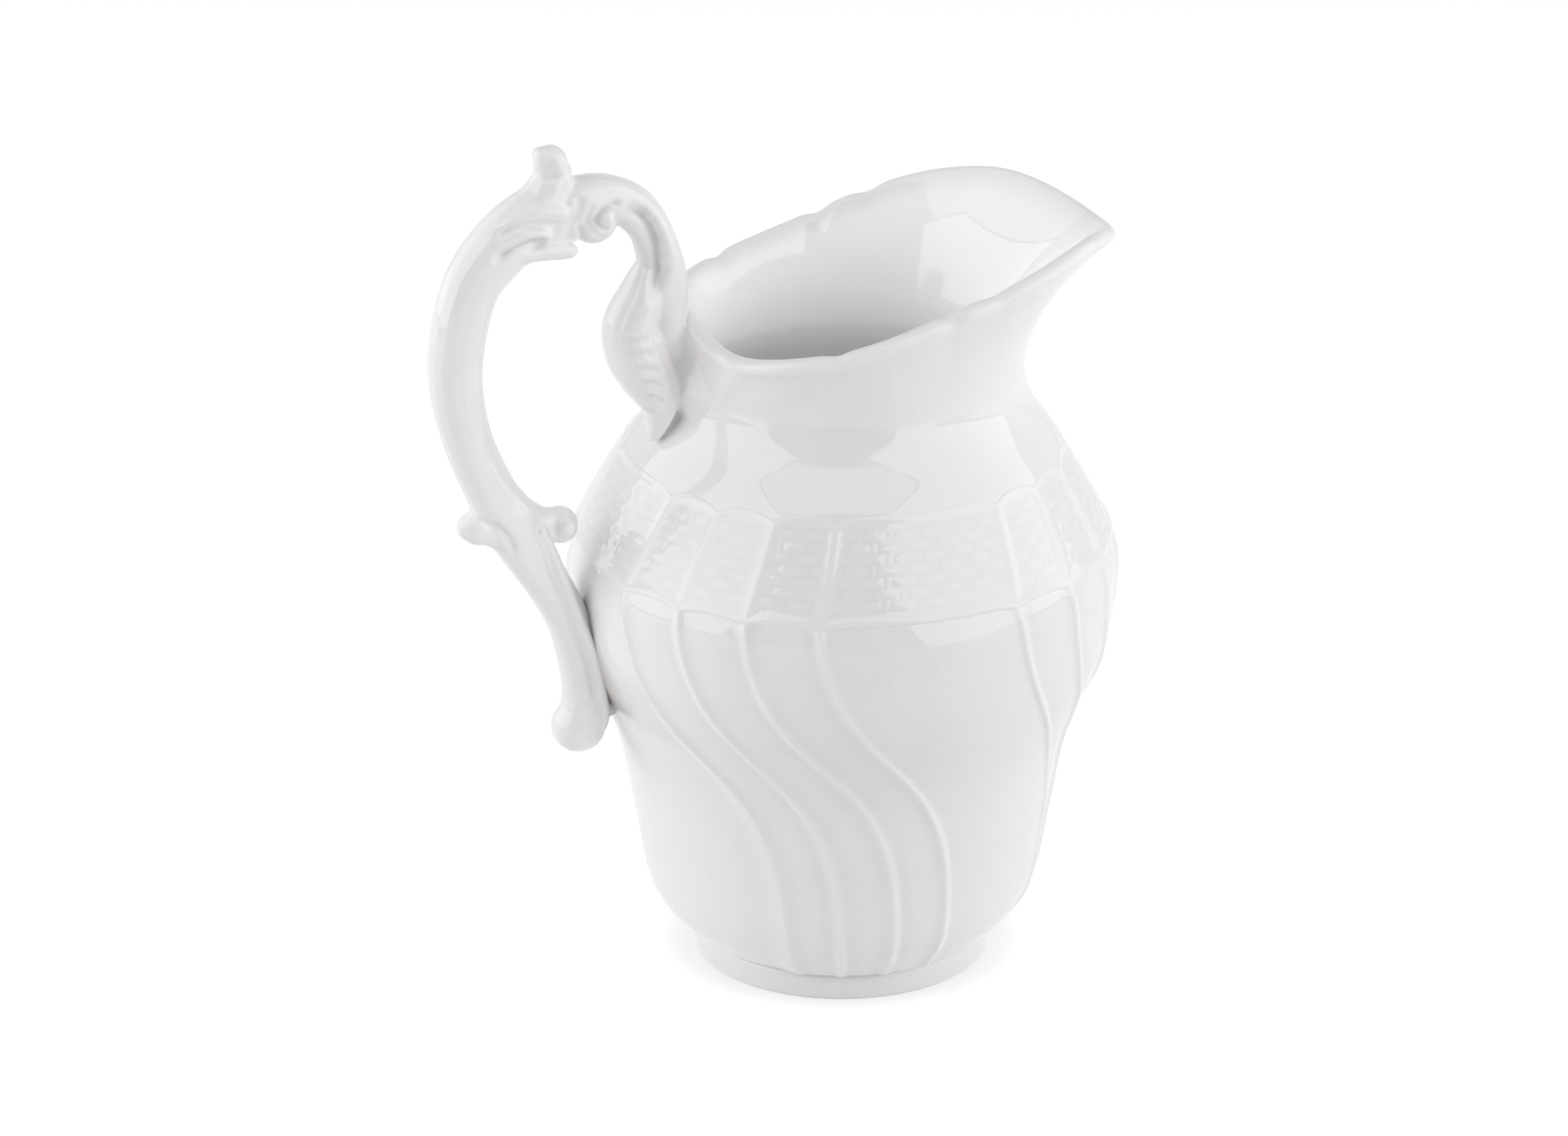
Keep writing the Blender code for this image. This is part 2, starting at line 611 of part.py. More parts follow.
def stand_on_origin(jug, pieces):
    """Moves the empty so that the middle of the whole jug stands over the origin."""
    bpy.context.view_layer.update()
    graph = bpy.context.evaluated_depsgraph_get()
    reach = []
    for piece in pieces:
        reach += [corner[0] for corner in piece.evaluated_get(graph).bound_box]
    jug.location.x = -0.5 * (min(reach) + max(reach))


def main():
    for old in list(bpy.data.objects):
        bpy.data.objects.remove(old)
    scene = bpy.context.scene.collection
    parts = bpy.data.collections.new("milk_jug")
    cutters = bpy.data.collections.new("cutters")
    scene.children.link(parts)
    scene.children.link(cutters)
    jug = add_object("jug", None, parts)

    crook, crook_seam = handle_crook(parts, cutters)
    tail, tail_seam = handle_tail(parts, cutters)
    glazed = [body(parts), handle_grip(parts, cutters), crook, tail]
    seams = [crook_seam, tail_seam, foot_seat_slip(parts)]
    ring = foot_ring(parts)

    porcelain = material("glazed_porcelain", GLAZED)
    biscuit = material("foot_porcelain", BISCUIT)
    slip = material("slip", SLIP)
    for piece in glazed:
        finish(piece, porcelain)
    for piece in seams:
        finish(piece, slip)
    finish(ring, biscuit)

    pieces = glazed + seams + [ring]
    for piece in pieces:
        piece.parent = jug
    for cutter in cutters.objects:
        cutter.parent = jug
    stand_on_origin(jug, pieces)


main()
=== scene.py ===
# %% [markdown]
# # A white porcelain milk jug, piece by piece
# The jug is slip-cast porcelain under a clear gloss glaze: a bellied vessel on a foot ring, a band of
# basket weave round the shoulder, ribs that swirl down the belly, a mouth drawn out to a pouring lip, and a
# scrolled handle. The imported CAD model is loaded first. It fixes where everything is; its parts stay in
# the scene, hidden, as the pieces that replace them are finished. The finished jug must stay inside it.

# %% Load the frame
import math

import bpy
import numpy as np
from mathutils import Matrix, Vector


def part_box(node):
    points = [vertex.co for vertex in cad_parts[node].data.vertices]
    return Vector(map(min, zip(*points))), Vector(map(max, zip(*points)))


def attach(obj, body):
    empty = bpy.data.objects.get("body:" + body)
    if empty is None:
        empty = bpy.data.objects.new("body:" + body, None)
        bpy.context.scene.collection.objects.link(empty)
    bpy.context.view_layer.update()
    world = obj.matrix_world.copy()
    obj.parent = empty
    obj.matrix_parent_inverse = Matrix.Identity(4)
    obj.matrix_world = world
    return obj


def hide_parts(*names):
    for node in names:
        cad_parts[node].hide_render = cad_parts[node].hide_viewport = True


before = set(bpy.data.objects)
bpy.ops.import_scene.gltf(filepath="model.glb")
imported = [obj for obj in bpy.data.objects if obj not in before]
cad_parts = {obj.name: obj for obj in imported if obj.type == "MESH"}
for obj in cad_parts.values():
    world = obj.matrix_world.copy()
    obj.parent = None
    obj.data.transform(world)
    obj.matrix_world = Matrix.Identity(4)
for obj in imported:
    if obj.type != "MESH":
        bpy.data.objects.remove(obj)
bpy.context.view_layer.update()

foot_low, foot_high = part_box("foot_ring")
AXIS_X = 0.5 * (foot_low.x + foot_high.x)
print("nodes:", sorted(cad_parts))
print("the jug's axis stands at x =", round(AXIS_X, 5))

# %% [markdown]
# ## Handling objects
# Operators act on whatever is selected, and loading leaves the CAD nodes selected. So every step starts with
# nothing selected. Lengths are written in millimetres, as a potter would measure them, about the jug's own
# axis; they turn into metres when points go into a mesh.

# %% Helpers for objects and points
MM = 0.001
MERGE = 0.00001
TO_AXIS = np.array((AXIS_X / MM, 0.0, 0.0))


def alone(obj=None):
    """Leaves edit mode, deselects everything, and then selects one object if it is given."""
    if bpy.context.object is not None and bpy.context.object.mode != "OBJECT":
        bpy.ops.object.mode_set(mode="OBJECT")
    bpy.ops.object.select_all(action="DESELECT")
    if obj is not None:
        obj.select_set(True)
        bpy.context.view_layer.objects.active = obj
    return obj


def named(name):
    """Names the object that an operator has just added."""
    obj = bpy.context.object
    obj.name = name
    obj.data.name = name
    return obj


def raw_points(obj, what="co"):
    """A row of three numbers for each point of a mesh: its place, or its normal."""
    flat = np.zeros(len(obj.data.vertices) * 3)
    obj.data.vertices.foreach_get(what, flat)
    return flat.reshape(-1, 3)


def points_of(obj):
    """The points in millimetres about the jug's axis."""
    return raw_points(obj) / MM - TO_AXIS


def place_points(obj, points):
    obj.data.vertices.foreach_set("co", ((points + TO_AXIS) * MM).ravel())
    obj.data.update()


def apply_all(obj):
    alone(obj)
    for modifier in list(obj.modifiers):
        bpy.ops.object.modifier_apply(modifier=modifier.name)
    return obj


def close_seams(obj):
    """Merges points that meet, and turns all faces outwards."""
    alone(obj)
    bpy.ops.object.mode_set(mode="EDIT")
    bpy.ops.mesh.select_all(action="SELECT")
    bpy.ops.mesh.remove_doubles(threshold=MERGE)
    bpy.ops.mesh.normals_make_consistent(inside=False)
    bpy.ops.object.mode_set(mode="OBJECT")
    return obj


print("helpers ready")

# %% [markdown]
# ## The camera
# The photograph looks down on the jug from a little to the left of its side, with a long lens, so there is
# hardly any perspective. The camera stands nearly a metre from the axis; its turn and height were worked out
# from the ellipses of the foot and the mouth.

# %% Camera
CAMERA_AZIMUTH = 22.5
CAMERA_AWAY = 975.46
CAMERA_HEIGHT = 455.42
CAMERA_PITCH = 21.977
CAMERA_YAW = 0.519
CAMERA_LENS = 158.74

alone()
bpy.ops.object.camera_add()
camera = named("camera")
side = math.radians(CAMERA_AZIMUTH)
camera.location = (
    AXIS_X - CAMERA_AWAY * MM * math.sin(side),
    -CAMERA_AWAY * MM * math.cos(side),
    CAMERA_HEIGHT * MM,
)
camera.rotation_euler = (
    math.radians(90 - CAMERA_PITCH),
    0.0,
    -math.radians(CAMERA_AZIMUTH - CAMERA_YAW),
)
camera.data.lens = CAMERA_LENS
camera.data.sensor_width = 36
camera.data.clip_start = 0.05
camera.data.clip_end = 20
bpy.context.scene.camera = camera
print("camera at", tuple(round(c, 3) for c in camera.location))

# %% [markdown]
# ## Writing shader maths as expressions
# A material is a net of nodes. One small class holds an output socket; adding, taking away or multiplying
# two of them adds the Math node that does it, and `node` makes any other kind of node from its settings and
# its inputs.

# %% Sockets with operators


class Wire:
    """An output socket of a node tree, on which Python's operators add Math nodes."""

    def __init__(self, tree, socket=None):
        self.tree = tree
        self.socket = socket

    def node(self, kind, settings=None, inputs=None, out=0):
        """Adds a node, sets its settings, then its inputs, and gives one of its outputs."""
        made = self.tree.nodes.new(kind)
        for key, value in (settings or {}).items():
            setattr(made, key, value)
        for key, value in (inputs or {}).items():
            if isinstance(value, Wire):
                self.tree.links.new(value.socket, made.inputs[key])
            else:
                made.inputs[key].default_value = value
        return Wire(self.tree, made.outputs[out])

    def math(self, operation, first, second):
        return self.node("ShaderNodeMath", {"operation": operation}, {0: first, 1: second})

    def __add__(self, other):
        return self.math("ADD", self, other)

    def __radd__(self, other):
        return self.math("ADD", other, self)

    def __sub__(self, other):
        return self.math("SUBTRACT", self, other)

    def __rsub__(self, other):
        return self.math("SUBTRACT", other, self)

    def __mul__(self, other):
        return self.math("MULTIPLY", self, other)

    def __rmul__(self, other):
        return self.math("MULTIPLY", other, self)

    def __lt__(self, other):
        return self.math("LESS_THAN", self, other)

    def __gt__(self, other):
        return self.math("GREATER_THAN", self, other)

    def between(self, low, high):
        """0 below low, 1 above high, and a soft step from one to the other."""
        settings = {"interpolation_type": "SMOOTHSTEP"}
        return self.node("ShaderNodeMapRange", settings, {"Value": self, "From Min": low, "From Max": high})

    def mixed(self, first, second):
        """A colour between two colours, with this socket as the factor."""
        return self.node("ShaderNodeMix", {"data_type": "RGBA"}, {0: self, 6: first, 7: second}, out=2)


def new_material(name):
    """A material, its principled shader, and a wire to start expressions from."""
    made = bpy.data.materials.new(name)
    made.use_nodes = True
    shader = made.node_tree.nodes["Principled BSDF"]
    return made, shader, Wire(made.node_tree)


def feed(wire, shader, socket):
    wire.tree.links.new(wire.socket, shader.inputs[socket])


print("sockets ready")

# %% [markdown]
# ## Glazed porcelain
# White porcelain is not a flat white. The clear glaze is thin and whiter on the ridges, and greyer where it
# pools beside the relief; that grey also carries painted shade in the hollows and over the whole foot, and
# the whiter tone a painted highlight round the rim. The front has a faint lilac cast, use has left lacy beige
# stains on belly and neck, and a few iron specks show. A painted shadow, a much darker grey, lies in the
# narrow gap beside the tail of the handle. The surface is glassy but not quite even, which bends the edges of
# the reflections. Each mesh carries two attributes that the glaze reads: how deep a point lies, with the
# painted shade and highlight counted in, and how strong a painted glow is there: a faint emission that lifts
# the inside of the vessel and the shaded flanks of the handle, in place of light that soaks through the thin
# porcelain, because real scattering would be slow and could not be baked.

# %% Glaze colours
DEPTH = "glaze_and_shade_depth"
PAINTED_GLOW = "painted_glow"
# strength of the painted glow, an emission on inner and shaded surfaces
PAINTED_GLOW_STRENGTH = 0.118
WARM_WHITE = (0.895, 0.892, 0.889, 1.0)
COOL_WHITE = (0.892, 0.892, 0.892, 1.0)
LILAC_WHITE = (0.905, 0.887, 0.899, 1.0)
# whiter for thin glaze on ridges, and for a painted highlight round the rim
RIDGE_AND_HIGHLIGHT_WHITE = (0.935, 0.929, 0.926, 1.0)
# grey for pooled glaze, and for painted shade in hollows and on the foot
POOL_AND_SHADE_GREY = (0.80, 0.80, 0.80, 1.0)
STAIN_BEIGE = (0.896, 0.883, 0.863, 1.0)
SPECK_BROWN = (0.42, 0.37, 0.32, 1.0)
# painted shadow: a much darker grey laid on the belly behind the handle's tail
CREVICE_SHADE_GREY = (0.46, 0.44, 0.42, 1.0)
RIDGE_AND_HIGHLIGHT_DEPTH = (0.05, 0.9)
POOL_AND_SHADE_DEPTH = (0.0, 1.2)
CREVICE_SHADE_DEPTH = (1.3, 3.0)
CREVICE_SHADE_SHARE = 0.85
SPECK_RADIUS = 0.055
SPECK_LUCK = 0.965
SPECK_SHARE = 0.45
print("the whitest glaze is", RIDGE_AND_HIGHLIGHT_WHITE[:3])

# %% Stains
STAIN_SIDE = (-0.62, -0.785, 0.0)
LICHEN = {"Scale": 75.0, "Detail": 8.0, "Roughness": 0.70}
BARE_FROM = (0.066, 0.072)
BARE_TO = (0.086, 0.092)
NECK_NEARER = 0.010
LILAC_REACH = (0.008, 0.028)
STAIN_REACH = (0.014, 0.029)
STAIN_EDGE = (0.545, 0.558)
STAIN_BIAS = 0.06
NECK_BIAS = 0.03


def stained(start, place, ground, lilac):
    """The ground with a lilac cast at the front, and beige stains on belly and neck, but none on the shoulder."""
    lichen = start.node("ShaderNodeTexNoise", {}, {"Vector": place, **LICHEN})
    to_front = start.node("ShaderNodeVectorMath", {"operation": "DOT_PRODUCT"}, {0: place, 1: STAIN_SIDE}, out=1)
    up = start.node("ShaderNodeSeparateXYZ", {}, {"Vector": place}, out=2)
    neck = up.between(*BARE_TO)
    bare = up.between(*BARE_FROM) * (1.0 - neck)
    towards = to_front + NECK_NEARER * neck
    ground = (lilac * towards.between(*LILAC_REACH)).mixed(ground, LILAC_WHITE)
    reach = towards.between(*STAIN_REACH) * (1.0 - bare)
    spots = (lichen + (STAIN_BIAS - NECK_BIAS * neck) * reach).between(*STAIN_EDGE) * reach
    return spots.mixed(ground, STAIN_BEIGE)


print("stains lie towards", STAIN_SIDE[:2])

# %% Glaze
DRIFT = {"Scale": 48.0, "Detail": 3.0}
MOTTLE = {"Scale": 420.0, "Detail": 2.0}
WAVES = {"Scale": 95.0, "Detail": 1.0}
GRAIN = {"Scale": 1500.0, "Detail": 1.0}
DRIFT_RANGE = (0.40, 0.62)
POOL_AND_SHADE_SHARE = 0.55
MOTTLE_SHARE = 0.35
ROUGH_DRIFT = 0.02
ROUGH_POOL = 0.03
ROUGH_DEPTH = (0.1, 1.2)
SPECK_CELLS = 210.0
UNEVEN_SHARE = 0.22
UNEVEN_HEIGHT = 0.0004


def porcelain(name, roughness, pits, lilac):
    """A glaze over white porcelain: how rough it is, how pitted, and how much of the lilac cast it takes."""
    made, shader, start = new_material(name)
    place = start.node("ShaderNodeTexCoord", out=3)

    def noise(pattern):
        return start.node("ShaderNodeTexNoise", {}, {"Vector": place, **pattern})

    drift = noise(DRIFT)
    depth = start.node("ShaderNodeAttribute", {"attribute_name": DEPTH}, out=2)
    ground = stained(start, place, drift.between(*DRIFT_RANGE).mixed(WARM_WHITE, COOL_WHITE), lilac)
    # whiter under 0: thin glaze on ridges, and the painted highlight round the rim
    ground = (0.0 - depth).between(*RIDGE_AND_HIGHLIGHT_DEPTH).mixed(ground, RIDGE_AND_HIGHLIGHT_WHITE)
    # greyer over 0: pooled glaze, and painted shade in hollows
    pool_and_shade = depth.between(*POOL_AND_SHADE_DEPTH) * (POOL_AND_SHADE_SHARE + MOTTLE_SHARE * noise(MOTTLE))
    ground = pool_and_shade.mixed(ground, POOL_AND_SHADE_GREY)
    # painted shadow: only the belly behind the tail reaches these depths, and it turns much darker there
    ground = (depth.between(*CREVICE_SHADE_DEPTH) * CREVICE_SHADE_SHARE).mixed(ground, CREVICE_SHADE_GREY)
    cell = {"Vector": place, "Scale": SPECK_CELLS}
    speck_reach = start.node("ShaderNodeTexVoronoi", {}, cell)
    speck_colour = start.node("ShaderNodeTexVoronoi", {}, cell, out=1)
    luck = start.node("ShaderNodeSeparateColor", {}, {"Color": speck_colour})
    speck = (speck_reach < SPECK_RADIUS) * (luck > SPECK_LUCK) * SPECK_SHARE
    feed(speck.mixed(ground, SPECK_BROWN), shader, "Base Color")
    feed(roughness + ROUGH_DRIFT * drift + ROUGH_POOL * depth.between(*ROUGH_DEPTH), shader, "Roughness")
    height = noise(WAVES) + pits * noise(GRAIN)
    uneven = {"Height": height, "Strength": UNEVEN_SHARE, "Distance": UNEVEN_HEIGHT}
    feed(start.node("ShaderNodeBump", {}, uneven), shader, "Normal")
    # painted glow: an emission inside the vessel and on the handle's shaded flanks
    feed(start.node("ShaderNodeAttribute", {"attribute_name": PAINTED_GLOW}, out=2), shader, "Emission Color")
    shader.inputs["Emission Strength"].default_value = PAINTED_GLOW_STRENGTH
    shader.inputs["IOR"].default_value = 1.5
    return made


glaze = porcelain("clear_glaze", roughness=0.02, pits=0.004, lilac=0.75)
handle_glaze = porcelain("handle_glaze", roughness=0.02, pits=0.004, lilac=0.15)
slip_glaze = porcelain("slip_glaze", roughness=0.22, pits=0.010, lilac=0.3)
foot_glaze = porcelain("foot_glaze", roughness=0.28, pits=0.060, lilac=0.3)
print("materials:", glaze.name, handle_glaze.name, slip_glaze.name, foot_glaze.name)

# %% Finishing a piece


def set_share(obj, name, values):
    """Writes one number for each point of a mesh, under a name that a material can read."""
    attribute = obj.data.attributes.new(name, "FLOAT", "POINT")
    attribute.data.foreach_set("value", np.asarray(values, dtype=np.float32))


def set_depth(obj, values):
    """How deep each point lies: over 0 in a hollow where glaze pools or painted shade falls, under 0 on a ridge
    or under a painted highlight.
    """
    set_share(obj, DEPTH, values)


def finished(obj, surface, slot, *nodes):
    """Gives a piece its surface, ties it to the frame, and says which CAD nodes it stands for."""
    alone(obj)
    bpy.ops.object.shade_smooth()
    obj.data.materials.clear()
    obj.data.materials.append(surface)
    if DEPTH not in obj.data.attributes:
        set_depth(obj, np.zeros(len(obj.data.vertices)))
    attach(obj, "root")
    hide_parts(*nodes)
    low = points_of(obj).min(axis=0).round(2)
    high = points_of(obj).max(axis=0).round(2)
    obj.data.calc_loop_triangles()
    print(obj.name, len(obj.data.loop_triangles), "triangles, from", low, "to", high)
    return obj


print("ready to finish pieces")

# %% [markdown]
# ## The line of the wall
# Everything on the body follows one curve: the outside of the wall, from the hem over the foot, past the
# swelling belly and the shoulder, up to the neck. It is drawn as a smooth curve through eleven measured points,
# each a radius and a height. From it come the radius at any height, the way the wall faces there, and
# distances measured along the slope.

# %% Wall curve
WALL_STATIONS = (
    (24.4, 4.7),
    (29.6, 11.9),
    (32.2, 24.8),
    (34.8, 37.4),
    (40.1, 50.0),
    (41.8, 60.0),
    (41.0, 68.5),
    (33.7, 81.8),
    (28.4, 88.2),
    (26.5, 91.2),
    (25.8, 94.0),
)
HEM_HEIGHT = 5.4
LOW_BEAD_HEIGHT = 68.5
TOP_BEAD_HEIGHT = 81.7
NECK_HEIGHT = 94.0
NECK_RADIUS = 25.8
WALL_DETAIL = 24
LEAN_STEP = 0.3


def smooth_run(stations, steps):
    """Points along a Catmull-Rom curve through the stations."""
    stations = np.asarray(stations, dtype=float)
    padded = np.vstack((stations[:1], stations, stations[-1:]))
    share = (np.arange(steps) / steps)[:, None]
    spans = []
    for a, b, c, d in zip(padded, padded[1:], padded[2:], padded[3:]):
        bend = (2 * a - 5 * b + 4 * c - d) * share**2 + (3 * b - a - 3 * c + d) * share**3
        spans.append(b + 0.5 * ((c - a) * share + bend))
    return np.vstack(spans + [stations[-1:]])


wall_line = smooth_run(WALL_STATIONS, WALL_DETAIL)
wall_steps = np.hypot(*np.diff(wall_line, axis=0).T)
wall_slant = np.concatenate(((0.0,), np.cumsum(wall_steps)))


def wall_radius(height):
    return np.interp(height, wall_line[:, 1], wall_line[:, 0])


def slant_at(height):
    """How far up the slope of the wall a height lies."""
    return np.interp(height, wall_line[:, 1], wall_slant)


def height_at(slant):
    return np.interp(slant, wall_slant, wall_line[:, 1])


def lifted(height, lift):
    """Radius and height of a point that stands off the wall by a lift, square to the wall."""
    lean = (wall_radius(height + LEAN_STEP) - wall_radius(height - LEAN_STEP)) / (2 * LEAN_STEP)
    size = np.hypot(1.0, lean)
    return wall_radius(height) + lift / size, height - lift * lean / size


def round_axis(ring, turn, level):
    """Points from their distance off the axis, their turn round it and their height."""
    return np.stack((ring * np.cos(turn), ring * np.sin(turn), level), axis=1)


def soft_step(value, low, high):
    share = np.clip((value - low) / (high - low), 0.0, 1.0)
    return share * share * (3 - 2 * share)


def blended_max(first, second, softness):
    """The larger of two reliefs, rounded where they cross, as a brush of glaze rounds it."""
    gap = np.clip(0.5 + 0.5 * (first - second) / softness, 0.0, 1.0)
    return second + (first - second) * gap + softness * gap * (1.0 - gap)


print("wall is", round(float(wall_slant[-1]), 1), "mm along its slope")

# %% [markdown]
# ## Where the ribs run
# Ribs part the body into panels: in each quarter one wide panel, and a group of three narrow ones. Round the
# top of the weave the groups stand symmetrically about the spout. They lean back a little down the weave,
# and from the lower bead on they sweep towards the spout in a long S. Both sides of the jug mirror each
# other, as they come out of the two halves of a mould. The angles are measured from the spout.

# %% Rib angles and panels
GROUP_ANGLES = (-137.6, -46.2, 46.2, 137.6)
NARROW_PANEL = 15.8
BAND_LEAN = -3.2
SWIRL = 36.4
SWIRL_MIDDLE = 0.400
SWIRL_PACE = 8.64

RIB_PLACES = (-1.5, -0.5, 0.5, 1.5)
rib_angles = np.array([group + NARROW_PANEL * place for group in GROUP_ANGLES for place in RIB_PLACES])
rib_ring = np.concatenate((rib_angles, rib_angles[:1] + 360.0))


def panel_of(angle):
    """The share across its panel and the panel's width, for angles round the top of the weave."""
    turned = (angle - rib_ring[0]) % 360.0 + rib_ring[0]
    index = np.clip(np.searchsorted(rib_ring, turned, side="right") - 1, 0, len(rib_angles) - 1)
    width = rib_ring[index + 1] - rib_ring[index]
    return (turned - rib_ring[index]) / width, width


def swirl_at(height):
    """How far the ribs have swept forwards at a height below the lower bead."""
    down = np.clip((LOW_BEAD_HEIGHT - height) / (LOW_BEAD_HEIGHT - HEM_HEIGHT), 0.0, 1.0)
    curve = 1.0 / (1.0 + np.exp(-SWIRL_PACE * (down - SWIRL_MIDDLE)))
    start = 1.0 / (1.0 + math.exp(SWIRL_PACE * SWIRL_MIDDLE))
    end = 1.0 / (1.0 + math.exp(-SWIRL_PACE * (1.0 - SWIRL_MIDDLE)))
    return SWIRL * (curve - start) / (end - start)


FRONT_RIB = 22.5
FRONT_SWEEP = 0.5
BACK_RIB = 18.7
FULL_SWEEP_ANGLE = 69.9
SWEEP_POWER = 0.6


def sweep_side(angle):
    """1 on the side seen here and -1 on the other, so that both sweep to the spout; 0 at spout and handle."""
    turned = (angle + 180.0) % 360.0 - 180.0
    away = np.abs(turned)
    front = FRONT_SWEEP * np.minimum(away / FRONT_RIB, 1.0)
    share = np.where(away < FRONT_RIB, front, np.minimum(away / FULL_SWEEP_ANGLE, 1.0) ** SWEEP_POWER)
    return -np.sign(turned) * share * np.clip((180.0 - away) / BACK_RIB, 0.0, 1.0)


WIDE_ARCH_POWER = 7.0
NARROW_ARCH_POWER = 2.4


def scallop(angle):
    """The arch of a bead over each panel: 0 at the ribs, 1 in the middle, and flatter over a wide panel."""
    share, width = panel_of(angle)
    power = np.where(width > 2 * NARROW_PANEL, WIDE_ARCH_POWER, NARROW_ARCH_POWER)
    return 1.0 - np.abs(2 * share - 1.0) ** power


LOW_ARCH = 0.9
TOP_ARCH = 1.3
low_bead_slant = float(slant_at(LOW_BEAD_HEIGHT))
top_bead_slant = float(slant_at(TOP_BEAD_HEIGHT))


def low_bead(angle):
    return low_bead_slant + LOW_ARCH * scallop(angle)


def top_bead(angle):
    return top_bead_slant + TOP_ARCH * scallop(angle)


print(len(rib_angles), "ribs; the weave is", round(top_bead_slant - low_bead_slant, 1), "mm high on the slope")

# %% [markdown]
# ## The mouth
# The mouth starts as a plain turned neck. Then the clay is drawn: the rim climbs towards the spout, the
# front is pulled out to a lip that droops a little at its tip, and shallow notches are pressed into the rim.
# The same drawing is used here, as a rule that says where a point of the plain neck ends up.

# %% How the mouth is drawn
MOUTH_RADIUS = 26.8
MOUTH_BACK = 25.4
MOUTH_CORNER = 1.6
LIP_REACH = 43.5
RIM_BACK_HEIGHT = 104.8
LIP_HEIGHT = 115.6
RIM_RISE_START = -22.0
RIM_RISE_END = 34.0
LIP_DROOP = 4.0
LIP_DROOP_START = 33.0
NECK_PULL = 1.9
FLARE_POWER = 1.75
NOTCH_ANGLES = (-114.0, -76.0, -60.0, 60.0, 76.0, 114.0)
NOTCH_WIDTH = 3.6
NOTCH_DEPTH = 0.50
NOTCH_PRESS = 0.30
TIP_ROUND = 0.20


def lip_share(turn):
    """How much of the spout's pull an angle gets: 1 at the tip, 0 from the sides on."""
    front = np.maximum(np.cos(turn), 0.0)
    aside = np.sqrt(np.sin(turn) ** 2 + TIP_ROUND**2) - TIP_ROUND
    aside = aside / (math.sqrt(1.0 + TIP_ROUND**2) - TIP_ROUND)
    return np.where(np.cos(turn) > 0, 0.5 * (1.0 - aside + front**2), 0.0)


def notches(turn):
    """1 in the middle of each notch of the rim, 0 away from them."""
    degrees = np.degrees(turn)
    total = np.zeros_like(degrees)
    for angle in NOTCH_ANGLES:
        total += np.exp(-(((degrees - angle) / NOTCH_WIDTH) ** 2))
    return total


def rim_radius(turn):
    front = MOUTH_RADIUS + (LIP_REACH - MOUTH_RADIUS) * lip_share(turn)
    corner = MOUTH_CORNER * np.sin(2 * turn) ** 2
    back = MOUTH_RADIUS + corner + (MOUTH_BACK - MOUTH_RADIUS) * np.cos(turn) ** 4
    return np.where(np.cos(turn) > 0, front, back) - NOTCH_PRESS * notches(turn)


CROOK_RISE = 6.6
CROOK_RISE_ANGLE = 5.4
CROOK_LEAN = 2.0
BACK_DIP = 1.5
BACK_DIP_ANGLE = 31.0
NEAR_DIP = 0.9
NEAR_DIP_ANGLE = -52.0
DIP_WIDTH = 19.0


def by_crook(turn):
    """1 under the crook at the back, dying out to both sides."""
    return np.exp(-(180.0 - np.abs(np.degrees(turn))) / CROOK_RISE_ANGLE)


def rim_height(turn):
    reach = rim_radius(turn) * np.cos(turn)
    rise = soft_step(reach, RIM_RISE_START, RIM_RISE_END)
    droop = np.maximum(reach - LIP_DROOP_START, 0.0) / (LIP_REACH - LIP_DROOP_START)
    level = RIM_BACK_HEIGHT + (LIP_HEIGHT - RIM_BACK_HEIGHT) * rise - LIP_DROOP * droop**2
    off_back = 180.0 - np.abs(np.degrees(turn))
    level = level - BACK_DIP * np.exp(-(((off_back - BACK_DIP_ANGLE) / DIP_WIDTH) ** 2))
    level = level - NEAR_DIP * np.exp(-(((np.degrees(turn) - NEAR_DIP_ANGLE) / DIP_WIDTH) ** 2))
    return level + CROOK_RISE * by_crook(turn) - NOTCH_DEPTH * notches(turn)


LIP_HALF = 1.2
NECK_SAG = 0.22
DRAW_STEP = 0.01


def neck_line(share, turn):
    """The outside of the drawn neck: radius and height, from the neck at 0 to the rim at 1."""
    lip = lip_share(turn)
    start = NECK_RADIUS + NECK_PULL * lip
    waist = NECK_SAG * (RIM_BACK_HEIGHT - NECK_HEIGHT) * share * (1.0 - share) ** 2
    lean = CROOK_LEAN * by_crook(turn) * share**2
    radius = start + (rim_radius(turn) - start) * np.abs(share) ** FLARE_POWER - waist + lean
    return radius, NECK_HEIGHT + (rim_height(turn) - NECK_HEIGHT) * share


def drawn(radius, height, turn):
    """Where a point of the plain neck ends up when the mouth is drawn, with the wall kept as thick as it was."""
    low_pull = NECK_PULL * lip_share(turn) * soft_step(height, TOP_BEAD_HEIGHT, NECK_HEIGHT)
    reach = np.hypot(rim_radius(turn) - NECK_RADIUS, rim_height(turn) - NECK_HEIGHT)
    lip_low = RIM_BACK_HEIGHT - LIP_HALF
    share = np.clip((height - NECK_HEIGHT) / (lip_low - NECK_HEIGHT), 0.0, 1.0) * (1.0 - LIP_HALF / reach)
    past_lip = np.maximum(height - lip_low, 0.0)
    ring, level = neck_line(share, turn)
    next_ring, next_level = neck_line(share + DRAW_STEP, turn)
    step = np.hypot(next_ring - ring, next_level - level)
    out, up = (next_ring - ring) / step, (next_level - level) / step
    inset = NECK_RADIUS - radius
    above = height > NECK_HEIGHT
    new_radius = np.where(above, ring - inset * up + past_lip * out, radius + low_pull)
    return new_radius, np.where(above, level + inset * out + past_lip * up, height)


lip_tip = float(rim_height(np.zeros(1))[0])
print("rim at the back", RIM_BACK_HEIGHT, "mm, at the lip", round(lip_tip, 1), "mm high")

